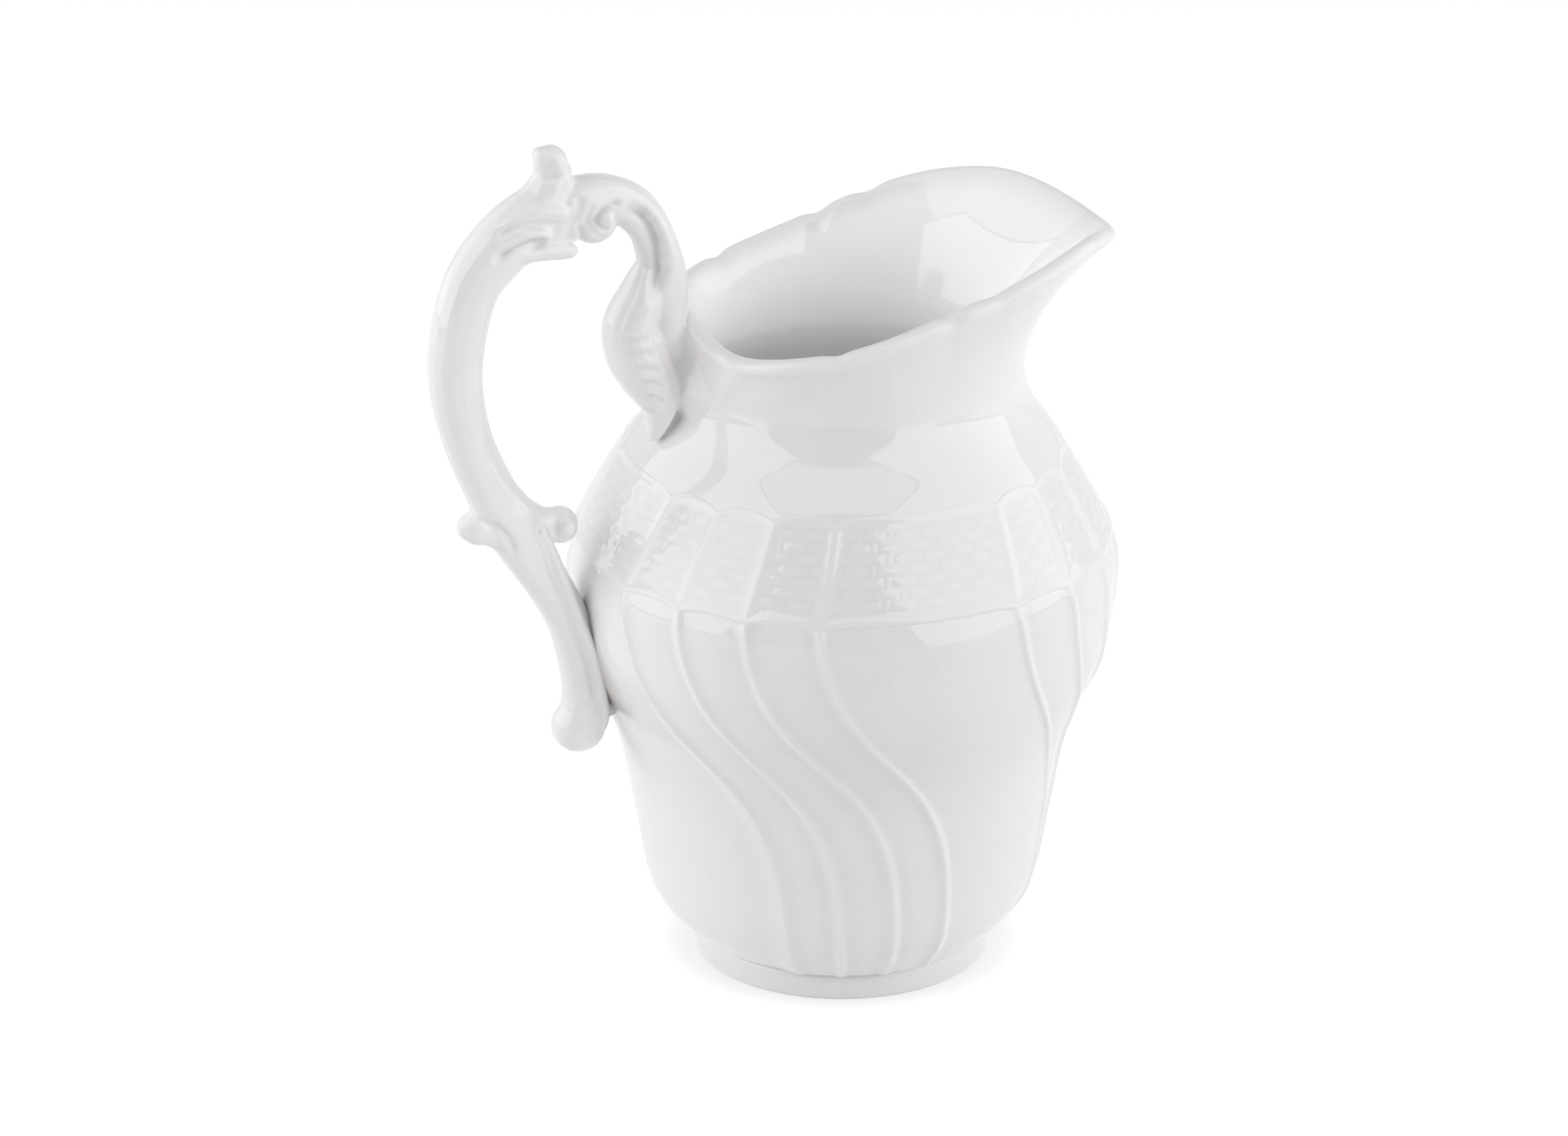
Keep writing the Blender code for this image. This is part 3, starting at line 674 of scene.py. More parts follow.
# %% [markdown]
# ## The vessel
# A vessel is a lathe job: draw half of its section and turn it. The section is drawn with Extrude, a point at
# a time, up the outside, round the lip and down the inside to the middle of the floor. Spin turns it. Under
# the weave and the ribs the outside is set back by a little over a millimetre, because those pieces are laid
# on as jackets and need room.

# %% Lathe


def lathe(name, profile, steps):
    """Draws a profile of radii and heights point by point with Extrude, and turns it about the axis."""
    alone()
    bpy.ops.mesh.primitive_plane_add(size=0.01)
    obj = named(name)
    bpy.ops.object.mode_set(mode="EDIT")
    bpy.ops.mesh.select_all(action="SELECT")
    bpy.ops.mesh.merge(type="CENTER")
    bpy.ops.transform.translate(value=(profile[0][0] * MM, 0.0, profile[0][1] * MM))
    for (radius, height), (next_radius, next_height) in zip(profile, profile[1:]):
        step = ((next_radius - radius) * MM, 0.0, (next_height - height) * MM)
        bpy.ops.mesh.extrude_region_move(TRANSFORM_OT_translate={"value": step})
    bpy.ops.mesh.select_all(action="SELECT")
    bpy.ops.mesh.spin(steps=steps, angle=2 * math.pi, center=(0, 0, 0), axis=(0, 0, 1))
    bpy.ops.object.mode_set(mode="OBJECT")
    place_points(obj, points_of(obj) + TO_AXIS)
    return close_seams(obj)


print("lathe ready")

# %% Vessel section
VESSEL_STEPS = 360
WALL = 2.5
BASE_HEIGHT = 4.5
FLOOR_HEIGHT = 7.0
BASE_RADIUS = 22.1
NECK_WALL = 3.9
THICKER_FROM = 82.0
CORNER_HEIGHT = 14.0
CORNER = 6.0
MID_BASE = 11.0
MID_FLOOR = 10.0
WALL_FROM = 6.5
FINE_FROM = 78.0
FINE_STEP = 0.45
INSIDE_TOP = 92.8


def vessel_section():
    """Radii and heights from the middle of the base, over the lip, to the middle of the floor."""
    outer = [(0.0, BASE_HEIGHT), (MID_BASE, BASE_HEIGHT), (BASE_RADIUS, BASE_HEIGHT)]
    coarse = np.linspace(WALL_FROM, FINE_FROM, 24)
    fine = np.arange(FINE_FROM + 0.5, NECK_HEIGHT, FINE_STEP)
    outer += [(float(wall_radius(h)), float(h)) for h in np.concatenate((coarse, fine))]
    lip_low = RIM_BACK_HEIGHT - LIP_HALF
    outer += [(NECK_RADIUS, float(h)) for h in np.linspace(NECK_HEIGHT, lip_low, 26)]
    lip, inner = [], []
    for angle in np.linspace(0.0, math.pi, 9)[1:-1]:
        ring = NECK_RADIUS - LIP_HALF + LIP_HALF * math.cos(angle)
        lip.append((ring, lip_low + LIP_HALF * math.sin(angle)))
    for share in np.linspace(1.0, 0.0, 22):
        thick = NECK_WALL + (2 * LIP_HALF - NECK_WALL) * share
        inner.append((NECK_RADIUS - thick, NECK_HEIGHT + (lip_low - NECK_HEIGHT) * share))
    for h in np.linspace(INSIDE_TOP, CORNER_HEIGHT, 48):
        thick = WALL + (NECK_WALL - WALL) * float(soft_step(h, THICKER_FROM, NECK_HEIGHT))
        inner.append((float(wall_radius(h)) - thick, float(h)))
    for angle in np.linspace(0.0, 0.5 * math.pi, 7)[1:]:
        ring = float(wall_radius(CORNER_HEIGHT)) - WALL - CORNER + CORNER * math.cos(angle)
        inner.append((ring, CORNER_HEIGHT - (CORNER_HEIGHT - FLOOR_HEIGHT) * math.sin(angle)))
    inner += [(MID_FLOOR, FLOOR_HEIGHT), (0.0, FLOOR_HEIGHT)]
    return outer + lip + inner


vessel = lathe("vessel", vessel_section(), VESSEL_STEPS)
print("vessel turned:", len(vessel.data.polygons), "faces")

# %% Vessel drawn
JACKET_ROOM = 1.30
JACKET_START = (0.25, 0.9)
LIP_ROLL = 0.30
LIP_ROLL_DROP = 0.6
LIP_ROLL_HALF = 1.6
CREASE = 0.10
# painted highlight round the rim
RIM_HIGHLIGHT = 0.7
RIM_HIGHLIGHT_HALF = 2.0
DEEP_LIGHT = 0.42
LIGHT_FROM = (86.0, 103.0)
UNDER_RIM = (0.3, 3.0)
CREASE_RUN = (NECK_HEIGHT + 2.0, RIM_BACK_HEIGHT - 1.0)

plain = points_of(vessel)
radius = np.hypot(plain[:, 0], plain[:, 1])
turn = np.arctan2(plain[:, 1], plain[:, 0])
height = plain[:, 2]
mid_wall = np.where(height > NECK_HEIGHT - 0.1, NECK_RADIUS - LIP_HALF, wall_radius(height) - 0.4 * WALL)
outside = (radius > mid_wall) & (height > BASE_HEIGHT + 0.5)
under_jacket = soft_step(top_bead(np.degrees(turn)) - slant_at(height), *JACKET_START)
radius = radius - np.where(outside & (height < NECK_HEIGHT), JACKET_ROOM * under_jacket, 0.0)
lip_roll = LIP_ROLL * np.exp(-(((RIM_BACK_HEIGHT - LIP_ROLL_DROP - height) / LIP_ROLL_HALF) ** 2))
radius = radius + np.where(outside & (height > NECK_HEIGHT), lip_roll, 0.0)
crease = notches(turn) * soft_step(height, *CREASE_RUN)
radius = radius - np.where(outside, CREASE * crease, 0.0)
new_radius, new_height = drawn(radius, height, turn)
place_points(vessel, round_axis(new_radius, turn, new_height))
# painted glow on the inside, stronger up towards the rim and fading out at the rim itself
inside = ~outside & (height > FLOOR_HEIGHT - 0.5)
under_rim = soft_step(RIM_BACK_HEIGHT - height, *UNDER_RIM)
glow_by_height = DEEP_LIGHT + soft_step(height, *LIGHT_FROM)
set_share(vessel, PAINTED_GLOW, np.where(inside, under_rim * glow_by_height, 0.0))
# painted highlight: a whiter band round the rim, inside and out
set_depth(vessel, -RIM_HIGHLIGHT * np.exp(-(((RIM_BACK_HEIGHT - height) / RIM_HIGHLIGHT_HALF) ** 2)))
finished(vessel, glaze, "glazed_porcelain", "body")

# %% [markdown]
# ## The basket weave
# A relief like this is pressed as a flat strip and laid round the shoulder. So a flat grid is laid out, each
# of its points is given its place round the body, and a formula says how far it stands out: rows of pillowy
# bricks with a narrow stake between them, each row shifted by half a brick, ribs running through, and a
# scalloped bead along both edges. The strip is closed on its inner side, so that it is a solid jacket.

# %% Sheet laid round the body


def flat_grid(name, columns, rows):
    """A flat grid, and the column and row of each of its points."""
    alone()
    bpy.ops.mesh.primitive_grid_add(x_subdivisions=columns, y_subdivisions=rows, size=2)
    obj = named(name)
    share = (raw_points(obj) + 1.0) / 2.0
    return obj, np.rint(share[:, 0] * columns).astype(int), np.rint(share[:, 1] * rows).astype(int)


def laid_round(name, columns, rows, place):
    """A flat grid whose points are placed by column and row; its edges meet and are merged."""
    obj, column, row = flat_grid(name, columns, rows)
    points, depth = place(column, row)
    place_points(obj, points)
    set_depth(obj, depth)
    return close_seams(obj)


print("sheets can be laid round the body")

# %% Weave relief
BRICKS_ROUND = 48
ROW_PITCH = 1.72
FIRST_ROW = 0.75
STAKE_SHARE = 0.20
BRICK_POWERS = (4.5, 2.8)
STAKE_POWERS = (2.5, 8.0)
GROUND = -0.30
BRICK_RISE = 0.12
STAKE_RISE = 0.08
RIB_CREST = 0.00
RIB_HALF = 1.1
BEAD_CREST = 0.08
BEAD_HALF = 0.95
BEAD_END = (0.35, 1.15)
RIB_CLEAR = (0.35, 1.1)
RIB_BLEND = 0.12
BEAD_BLEND = 0.10
HIDDEN = -0.85


def pillow(share, power):
    return 1.0 - np.abs(2 * share - 1.0) ** power


def weave(angle, slant):
    """How far bricks and stakes rise over the ground, for an angle and a distance up the slope."""
    climb = (slant - low_bead_slant - FIRST_ROW) / ROW_PITCH
    row = np.floor(climb)
    across = climb - row
    along = angle / (360.0 / BRICKS_ROUND) + 0.5 * (row % 2)
    along = along - np.floor(along)
    brick_share = (along - STAKE_SHARE) / (1.0 - STAKE_SHARE)
    brick = BRICK_RISE * pillow(brick_share, BRICK_POWERS[0]) * pillow(across, BRICK_POWERS[1])
    stake = STAKE_RISE * pillow(along / STAKE_SHARE, STAKE_POWERS[0]) * pillow(across, STAKE_POWERS[1])
    return np.where(along < STAKE_SHARE, stake, brick)


def rib_lift(angle, radius, crest, ground, half=RIB_HALF):
    """A rounded rib over the ground; also how near a point is to it, in millimetres."""
    share, width = panel_of(angle)
    near = np.minimum(share, 1.0 - share) * np.radians(width) * radius
    return ground + (crest - ground) * np.exp(-((near / half) ** 2)), near


def band_lift(angle, slant):
    radius = wall_radius(height_at(slant))
    rib, near = rib_lift(angle, radius, RIB_CREST, GROUND)
    lift = GROUND + weave(angle, slant) * soft_step(near, *RIB_CLEAR)
    lift = blended_max(lift, rib, RIB_BLEND)
    for past in (slant - top_bead(angle), low_bead(angle) - slant):
        bead = GROUND + (BEAD_CREST - GROUND) * np.exp(-((past / BEAD_HALF) ** 2))
        lift = blended_max(lift, bead, BEAD_BLEND)
        lift = lift + (HIDDEN - lift) * soft_step(past, *BEAD_END)
    return lift


print("a brick is", round(360.0 / BRICKS_ROUND, 1), "degrees long and", ROW_PITCH, "mm high")

# %% Weave band
BAND_COLUMNS = 900
BAND_ROWS = 80
BAND_BACK_ROWS = 3
BAND_LAST_ROW = BAND_ROWS + BAND_BACK_ROWS + 2
BAND_MARGIN = 1.4
BAND_BACK = -1.6
POOL_AND_SHADE_PER_MM = 8.0
POOL_AND_SHADE_RANGE = (-0.35, 1.0)


def place_band(column, row):
    """Up the face of the band, over its edge and down behind it; the last row closes the strip."""
    angle = -180.0 + 360.0 * column / BAND_COLUMNS
    low = low_bead_slant - BAND_MARGIN
    high = top_bead_slant + TOP_ARCH + BAND_MARGIN
    up = np.where(row <= BAND_ROWS, row / BAND_ROWS, 1.0 - (row - BAND_ROWS - 1.0) / BAND_BACK_ROWS)
    up = np.where(row == BAND_LAST_ROW, 0.0, up)
    slant = low + (high - low) * np.clip(up, 0.0, 1.0)
    behind = (row > BAND_ROWS) & (row < BAND_LAST_ROW)
    lift = np.where(behind, BAND_BACK, band_lift(angle, slant))
    lean = BAND_LEAN * np.clip((top_bead_slant - slant) / (top_bead_slant - low_bead_slant), 0.0, 1.0)
    ring, level = lifted(height_at(slant), lift)
    turn = np.radians(angle + sweep_side(angle) * lean)
    # greyer in the joints of the weave: pooled glaze, and painted shade
    depth = np.clip((GROUND + BRICK_RISE - lift) * POOL_AND_SHADE_PER_MM, *POOL_AND_SHADE_RANGE)
    inside = (slant < top_bead(angle)) & (slant > low_bead(angle))
    depth = np.where(inside, depth, np.minimum(depth, 0.0))
    return round_axis(ring, turn, level), depth


band = laid_round("weave_band", BAND_COLUMNS, BAND_LAST_ROW, place_band)
finished(band, glaze, "glazed_porcelain", "body")

# %% [markdown]
# ## The ribbed belly
# The belly is a second jacket. Its columns follow the ribs down their swirl, and crowd together beside each
# rib, so that a thin ridge stays crisp with few points. The wide panels swell a little, and the narrow ones
# lie between shallow valleys. At the bottom the jacket ends in a rounded hem over the foot, lower under the
# narrow panels and scalloped between the ribs.

# %% Columns along the ribs
NARROW_COLUMNS = 26
WIDE_COLUMNS = 50
CROWDING = 0.80


def crowded(count):
    """Shares from 0 to 1, crowded towards both ends."""
    even = np.arange(count) / count
    return even - CROWDING * np.sin(2 * math.pi * even) / (2 * math.pi)


def belly_columns():
    angles = []
    for start, end in zip(rib_ring, rib_ring[1:]):
        count = WIDE_COLUMNS if end - start > 2 * NARROW_PANEL else NARROW_COLUMNS
        angles.append(start + (end - start) * crowded(count))
    return np.concatenate(angles + [rib_ring[-1:]])


belly_angles = belly_columns()
BELLY_COLUMNS = len(belly_angles) - 1
print(BELLY_COLUMNS, "columns round the belly")

# %% Belly relief
BELLY_GROUND = -0.32
BELLY_RIB_CREST = 0.08
BELLY_RIB_HALF = 0.85
BELLY_RIB_BLEND = 0.16
VALLEY = 0.20
SWELL = 0.26
SHAPE_START = (-0.5, 4.5)
UNDER_BEAD = (-0.2, 0.6)
HEM_LOW = 5.15
HEM_HIGH = 6.0
HEM_POWER = 0.35
HEM_SCALLOP = 0.22


def bow_of(angle):
    """0 at the ribs and 1 in the middle of a panel, and whether the panel is a wide one."""
    share, width = panel_of(angle)
    return 4.0 * share * (1.0 - share), width > 2 * NARROW_PANEL


def hem_height(angle):
    bow, wide = bow_of(angle)
    return np.where(wide, HEM_LOW + (HEM_HIGH - HEM_LOW) * bow**HEM_POWER, HEM_LOW - HEM_SCALLOP * bow)


def belly_lift(angle, level):
    rib = rib_lift(angle, wall_radius(level), BELLY_RIB_CREST, BELLY_GROUND, BELLY_RIB_HALF)[0]
    bow, wide = bow_of(angle)
    shape = np.where(wide, SWELL * bow, -VALLEY * (1.0 - bow))
    shape = shape * soft_step(LOW_BEAD_HEIGHT - level, *SHAPE_START)
    lift = blended_max(BELLY_GROUND + shape, rib, BELLY_RIB_BLEND)
    past = slant_at(level) - low_bead(angle)
    return lift + (HIDDEN - lift) * soft_step(past, *UNDER_BEAD)


print("ribs stand", round(BELLY_RIB_CREST - BELLY_GROUND, 2), "mm over the belly")

# %% [markdown]
# ### Where the glaze pools, and painted shade
# Runny glaze leaves the crest of a rib thin and white and gathers in the valleys beside it, which look
# greyer; that grey is partly painted shade. The narrow gap between tail and belly gets a painted shadow, a
# much darker grey on the belly behind the tail.

# %% Pooled glaze, painted shade and painted shadow
VALLEY_PLACE = 1.6
VALLEY_HALF = 1.6
VALLEY_POOL_AND_SHADE = 0.50
WIDE_VALLEY = 0.45
CREST_THIN = 0.60
CREST_SHARE = 0.75
# how strong the painted shadow behind the tail is
CREVICE_SHADE = 3.0
CREVICE_SHADE_HALF = (5.0, 9.0)
CREVICE_SHADE_WIDER_UNDER = 60.0
CREVICE_SHADE_FADE = 9.0
CREVICE_SHADE_LOW = (43.0, 47.0)
CREVICE_SHADE_TOP = 68.0


def beside_tail(angle, level):
    """1 on the belly behind the tail, dying out to its sides and ends."""
    from_tail = np.sin(np.radians(angle)) * wall_radius(level)
    half = CREVICE_SHADE_HALF[0] + (CREVICE_SHADE_HALF[1] - CREVICE_SHADE_HALF[0]) * soft_step(CREVICE_SHADE_WIDER_UNDER - level, 0.0, CREVICE_SHADE_FADE)
    across = np.where(np.cos(np.radians(angle)) < 0, np.exp(-((from_tail / half) ** 2)), 0.0)
    return across * soft_step(level, *CREVICE_SHADE_LOW) * soft_step(CREVICE_SHADE_TOP - level, 0.0, CREVICE_SHADE_FADE)


def belly_depth(angle, level):
    near = rib_lift(angle, wall_radius(level), 0.0, 0.0)[1]
    # the valleys beside each rib turn greyer: pooled glaze, and painted shade
    valley_share = np.where(bow_of(angle)[1], WIDE_VALLEY, 1.0)
    valley = valley_share * np.exp(-(((near - VALLEY_PLACE) / VALLEY_HALF) ** 2))
    crest = np.exp(-((near / (CREST_SHARE * BELLY_RIB_HALF)) ** 2))
    # behind the tail a painted shadow is added, far deeper than the pooled grey
    return VALLEY_POOL_AND_SHADE * valley * (1.0 - crest) - CREST_THIN * crest + CREVICE_SHADE * beside_tail(angle, level)


print("painted shadow lies from", CREVICE_SHADE_LOW[0], "to", CREVICE_SHADE_TOP, "mm up")

# %% Belly jacket
BELLY_ROWS = 150
HEM_ROWS = 8
BELLY_BACK_ROWS = 6
BELLY_LAST_ROW = BELLY_ROWS + HEM_ROWS + BELLY_BACK_ROWS + 1
BELLY_TOP = 70.8
HEM_ROUND = 0.55
BELLY_BACK = 1.7


def place_belly(column, row):
    """Down the belly, round the hem and up behind it; the last row closes the jacket."""
    angle = belly_angles[column]
    hem = hem_height(angle)
    down = np.clip(row / BELLY_ROWS, 0.0, 1.0)
    level = BELLY_TOP + (hem - BELLY_TOP) * down
    lift = belly_lift(angle, level)
    ring, level = lifted(level, lift)
    bend = np.clip((row - BELLY_ROWS) / HEM_ROWS, 0.0, 1.0) * math.pi
    ring = ring - HEM_ROUND * (1.0 - np.cos(bend))
    level = level - HEM_ROUND * np.sin(bend)
    back = (row - BELLY_ROWS - HEM_ROWS) / BELLY_BACK_ROWS
    level = np.where(back > 0, hem + (BELLY_TOP - hem) * np.clip(back, 0.0, 1.0), level)
    ring = np.where(back > 0, wall_radius(level) - BELLY_BACK, ring)
    last = row == BELLY_LAST_ROW
    top = np.full_like(hem, BELLY_TOP)
    top_ring, top_level = lifted(top, belly_lift(angle, top))
    ring = np.where(last, top_ring, ring)
    level = np.where(last, top_level, level)
    turn = np.radians(angle + sweep_side(angle) * (BAND_LEAN + swirl_at(level)))
    return round_axis(ring, turn, level), belly_depth(angle, level)


belly = laid_round("ribbed_belly", BELLY_COLUMNS, BELLY_LAST_ROW, place_belly)
finished(belly, glaze, "glazed_porcelain", "body")

# %% [markdown]
# ## The foot
# The foot is a plain turned ring under the body, with a softened edge where it stands and a shallow recess
# inside. The whole ring takes a rougher, more pitted glaze than the body. A small seam of slip sits in the
# corner between ring and body.

# %% Foot ring and its seam
FOOT_RADIUS = 22.65
FOOT_TOP_RADIUS = 22.85
FOOT_TOP = 4.35
FOOT_BORE = 17.2
FOOT_EDGE = 0.4
FOOT_STEPS = 240
FOOT_SHADE = 0.8
FOOT_SHOULDER = ((-0.8, FOOT_TOP), (-0.3, 4.15), (0.0, 3.6), (-0.05, 2.0))
FOOT_RECESS = ((-0.1, 2.5), (-0.3, FOOT_TOP))


def foot_section():
    """Down the outside of the ring, round the edge that it stands on, and up the recess."""
    section = [(FOOT_TOP_RADIUS + off, level) for off, level in FOOT_SHOULDER]
    for angle in np.linspace(0.0, 0.5 * math.pi, 7):
        corner = FOOT_RADIUS - FOOT_EDGE + FOOT_EDGE * math.cos(angle)
        section.append((corner, FOOT_EDGE - FOOT_EDGE * math.sin(angle)))
    for angle in np.linspace(0.5 * math.pi, math.pi, 6):
        corner = FOOT_BORE + FOOT_EDGE + FOOT_EDGE * math.cos(angle)
        section.append((corner, FOOT_EDGE - FOOT_EDGE * math.sin(angle)))
    section += [(FOOT_BORE + off, level) for off, level in FOOT_RECESS]
    return section + section[:1]


foot = lathe("foot", foot_section(), FOOT_STEPS)
# painted shade: the whole foot is greyed, as if it stood in the belly's shadow
set_depth(foot, np.full(len(foot.data.vertices), FOOT_SHADE))
finished(foot, foot_glaze, "foot_porcelain", "foot_ring")

SEAM_RADIUS = 0.40
SEAM_RING = FOOT_TOP_RADIUS - 0.7
SEAM_HEIGHT = 4.4
seam_section = []
for angle in np.linspace(0.0, 2 * math.pi, 13):
    seam_section.append((SEAM_RING + SEAM_RADIUS * math.cos(angle), SEAM_HEIGHT + SEAM_RADIUS * math.sin(angle)))
foot_seam = lathe("foot_seam", seam_section, FOOT_STEPS)
finished(foot_seam, slip_glaze, "slip", "foot_seat_slip")

# %% [markdown]
# ## The handle, roughed out
# A modeller builds such a handle from rolls of clay, presses them together, smooths the joins and then draws
# the detail with a tool. The same is done here. Rolls are curves with a round bevel that swells and thins,
# drawn in the jug's middle plane through measured points: x from the axis, height, and the roll's radius.

# %% Rolls and lumps of clay
ROLL_STEPS = 8
ROLL_ROUNDNESS = 6


def rolled(name, run, roundness):
    """A roll of clay along a run of x, y, height and radius."""
    alone()
    bpy.ops.curve.primitive_nurbs_path_add()
    obj = named(name)
    obj.data.splines.clear()
    spline = obj.data.splines.new("POLY")
    spline.points.add(len(run) - 1)
    for point, (x, y, z, size) in zip(spline.points, run):
        point.co = (x * MM + AXIS_X, y * MM, z * MM, 1.0)
        point.radius = size * MM
    obj.data.bevel_depth = 1.0
    obj.data.bevel_resolution = roundness
    obj.data.use_fill_caps = True
    alone(obj)
    bpy.ops.object.convert(target="MESH")
    return obj


def roll(name, stations, across=0.0, width=1.0):
    """A roll of clay through stations of x, height and radius, set off across the handle, and widened."""
    obj = rolled(name, np.insert(smooth_run(stations, ROLL_STEPS), 1, 0.0, axis=1), ROLL_ROUNDNESS)
    shaped = points_of(obj)
    shaped[:, 1] = shaped[:, 1] * width + across
    place_points(obj, shaped)
    return obj


def lump(name, centre, sizes):
    """A round lump of clay: its centre x, y and height, and its half sizes along them."""
    alone()
    bpy.ops.mesh.primitive_uv_sphere_add(segments=32, ring_count=20, radius=1.0)
    obj = named(name)
    place_points(obj, raw_points(obj) * np.array(sizes) + np.array(centre))
    return obj


def flanks(across):
    return (("_near", -across), ("_far", across))


def pair(name, stations, across):
    """The same roll on both flanks of the handle."""
    return [roll(name + flank, stations, place) for flank, place in flanks(across)]


def studs(name, x, height, sizes, across):
    """The same small lump on both flanks."""
    return [lump(name + flank, (x, place, height), sizes) for flank, place in flanks(across)]


print("rolls and lumps ready")

# %% Grip and tail
SPINE = (
    (-42.8, 43.3, 3.7),
    (-41.9, 46.6, 3.75),
    (-42.4, 51.7, 3.4),
    (-44.4, 60.0, 3.3),
    (-47.5, 66.4, 3.45),
    (-51.2, 72.8, 3.9),
    (-53.6, 77.6, 4.4),
    (-56.4, 82.6, 3.9),
    (-60.2, 92.4, 3.8),
    (-61.6, 103.0, 4.2),
    (-59.1, 114.6, 4.35),
    (-53.6, 121.4, 4.75),
    (-48.0, 126.4, 3.9),
    (-46.2, 129.6, 3.3),
    (-46.2, 132.2, 2.6),
)
clay = [roll("spine", SPINE, width=0.94)]
clay.append(lump("thumb", (-46.35, 0.0, 132.5), (2.65, 2.7, 2.8)))
clay.append(lump("thumb_base", (-45.3, 0.0, 130.6), (2.3, 2.4, 2.6)))
clay.append(lump("thumb_corner", (-47.75, 0.0, 133.9), (1.3, 1.9, 1.25)))
clay.append(lump("tail_ball", (-43.0, 0.0, 42.8), (4.2, 4.1, 4.15)))
clay.append(roll("tail_end", ((-42.3, 50.0, 3.0), (-41.9, 47.0, 3.7), (-42.4, 43.6, 4.0))))
OUTER_NUB = (
    (-51.4, 71.4, 2.7),
    (-53.9, 75.0, 2.8),
    (-56.8, 76.9, 2.85),
    (-59.0, 77.2, 2.75),
    (-60.6, 77.3, 1.95),
    (-61.7, 77.3, 0.9),
)
clay.append(roll("outer_nub", OUTER_NUB))
clay.append(roll("inner_arm", ((-52.6, 78.4, 3.2), (-49.2, 76.7, 2.5), (-46.8, 76.2, 2.3))))
clay.append(roll("nub_throat", ((-51.4, 74.6, 2.8), (-48.6, 74.9, 2.4), (-46.6, 75.6, 2.2))))
clay.append(lump("inner_nub", (-45.6, 0.0, 75.7), (2.75, 3.1, 2.85)))
clay += studs("nub_eye", -45.2, 76.2, (1.3, 0.8, 1.3), across=2.9)
clay += studs("nub_bead", -49.4, 76.1, (0.9, 0.8, 0.9), across=2.9)
TAIL_EDGE = (
    (-49.0, 75.4, 0.7),
    (-47.8, 72.6, 0.9),
    (-45.2, 65.3, 1.0),
    (-43.0, 59.1, 1.0),
    (-41.3, 54.2, 1.05),
    (-40.2, 48.1, 1.1),
    (-40.0, 44.5, 1.1),
    (-41.0, 42.0, 0.9),
    (-42.4, 41.2, 0.5),
)
clay += pair("tail_edge", TAIL_EDGE, across=2.4)
print(len(clay), "lumps of clay for grip and tail")

# %% [markdown]
# ### Leaf, crook and shell
# On top the grip opens into a leaf of three curled lobes that lap against the crook. The crook rolls up round
# a small eye, arches over, and comes down on the rim. It ends in a shell: a bulging fan, which is a wide roll
# that swells and thins again to a tip on the shoulder.

# %% Leaf, crook and shell
clay.append(roll("leaf_web", ((-54.0, 119.4, 3.2), (-48.0, 122.0, 3.4), (-43.6, 123.6, 3.5))))
UPPER_LOBE = (
    (-55.0, 124.4, 0.4),
    (-53.0, 125.4, 0.8),
    (-50.6, 126.0, 1.15),
    (-48.2, 126.2, 1.35),
    (-46.2, 125.8, 1.4),
    (-45.2, 125.4, 1.05),
    (-44.5, 125.1, 0.4),
)
MIDDLE_LOBE = (
    (-55.4, 122.0, 0.3),
    (-53.6, 122.9, 0.6),
    (-51.6, 123.3, 0.9),
    (-49.5, 123.2, 1.0),
    (-48.4, 122.8, 0.7),
    (-47.8, 122.5, 0.3),
)
LOWER_LOBE = (
    (-58.0, 118.0, 0.4),
    (-55.4, 118.9, 0.8),
    (-52.7, 119.6, 1.2),
    (-49.7, 120.0, 1.4),
    (-46.2, 119.9, 1.45),
    (-44.2, 119.6, 1.2),
    (-43.2, 119.5, 0.5),
)
clay += pair("upper_lobe", UPPER_LOBE, across=3.0)
clay += pair("middle_lobe", MIDDLE_LOBE, across=3.7)
clay += pair("lower_lobe", LOWER_LOBE, across=2.7)
CROOK = (
    (-46.0, 125.0, 3.3),
    (-42.6, 126.1, 3.75),
    (-39.6, 126.2, 3.7),
    (-36.0, 125.5, 3.5),
    (-33.2, 123.6, 3.4),
    (-31.0, 120.6, 3.2),
    (-29.7, 116.8, 3.4),
    (-29.0, 113.0, 3.7),
    (-28.6, 109.5, 3.6),
    (-28.2, 105.5, 3.2),
    (-27.6, 101.0, 2.4),
    (-27.2, 97.0, 1.4),
)
clay.append(roll("crook", CROOK, width=1.05))
SHELL = (
    (-30.4, 117.0, 1.6),
    (-31.2, 113.2, 2.7),
    (-32.4, 110.0, 3.3),
    (-34.2, 105.6, 3.9),
    (-33.4, 101.6, 4.5),
    (-32.0, 98.5, 4.35),
    (-30.6, 95.5, 3.75),
    (-29.7, 93.0, 3.0),
    (-29.7, 91.0, 2.25),
    (-30.2, 88.4, 1.3),
    (-31.0, 86.9, 0.5),
)
clay.append(roll("shell", SHELL, width=1.35))
clay.append(lump("whorl", (-39.8, 0.0, 123.1), (3.7, 3.5, 3.7)))
clay += studs("crook_eye", -38.8, 123.8, (1.05, 0.9, 1.05), across=3.55)
print(len(clay), "lumps of clay in all")

# %% [markdown]
# ### Up from the rim
# Where the crook stands on the rim, the clay of the neck was drawn up its flanks, so that neck and crook flow
# together. A patch of clay follows the neck, thickest behind the crook and dying out to both sides and
# downwards. It is a flat grid again, closed behind, and it is pressed into the handle with the rest.

# %% Web between neck and crook
WEB_ANGLE = 26.0
WEB_COLUMNS = 52
WEB_ROWS = 30
WEB_LOW = 89.0
WEB_SWELL = 3.2
WEB_LOW_ANGLE = 14.0
WEB_HIGH_ANGLE = 6.0
WEB_TUCK = 0.7
WEB_BACK = 1.3
WEB_UNDER_RIM = 0.9
WEB_NARROWS = (0.35, 0.9)
WEB_GROWS = 0.4


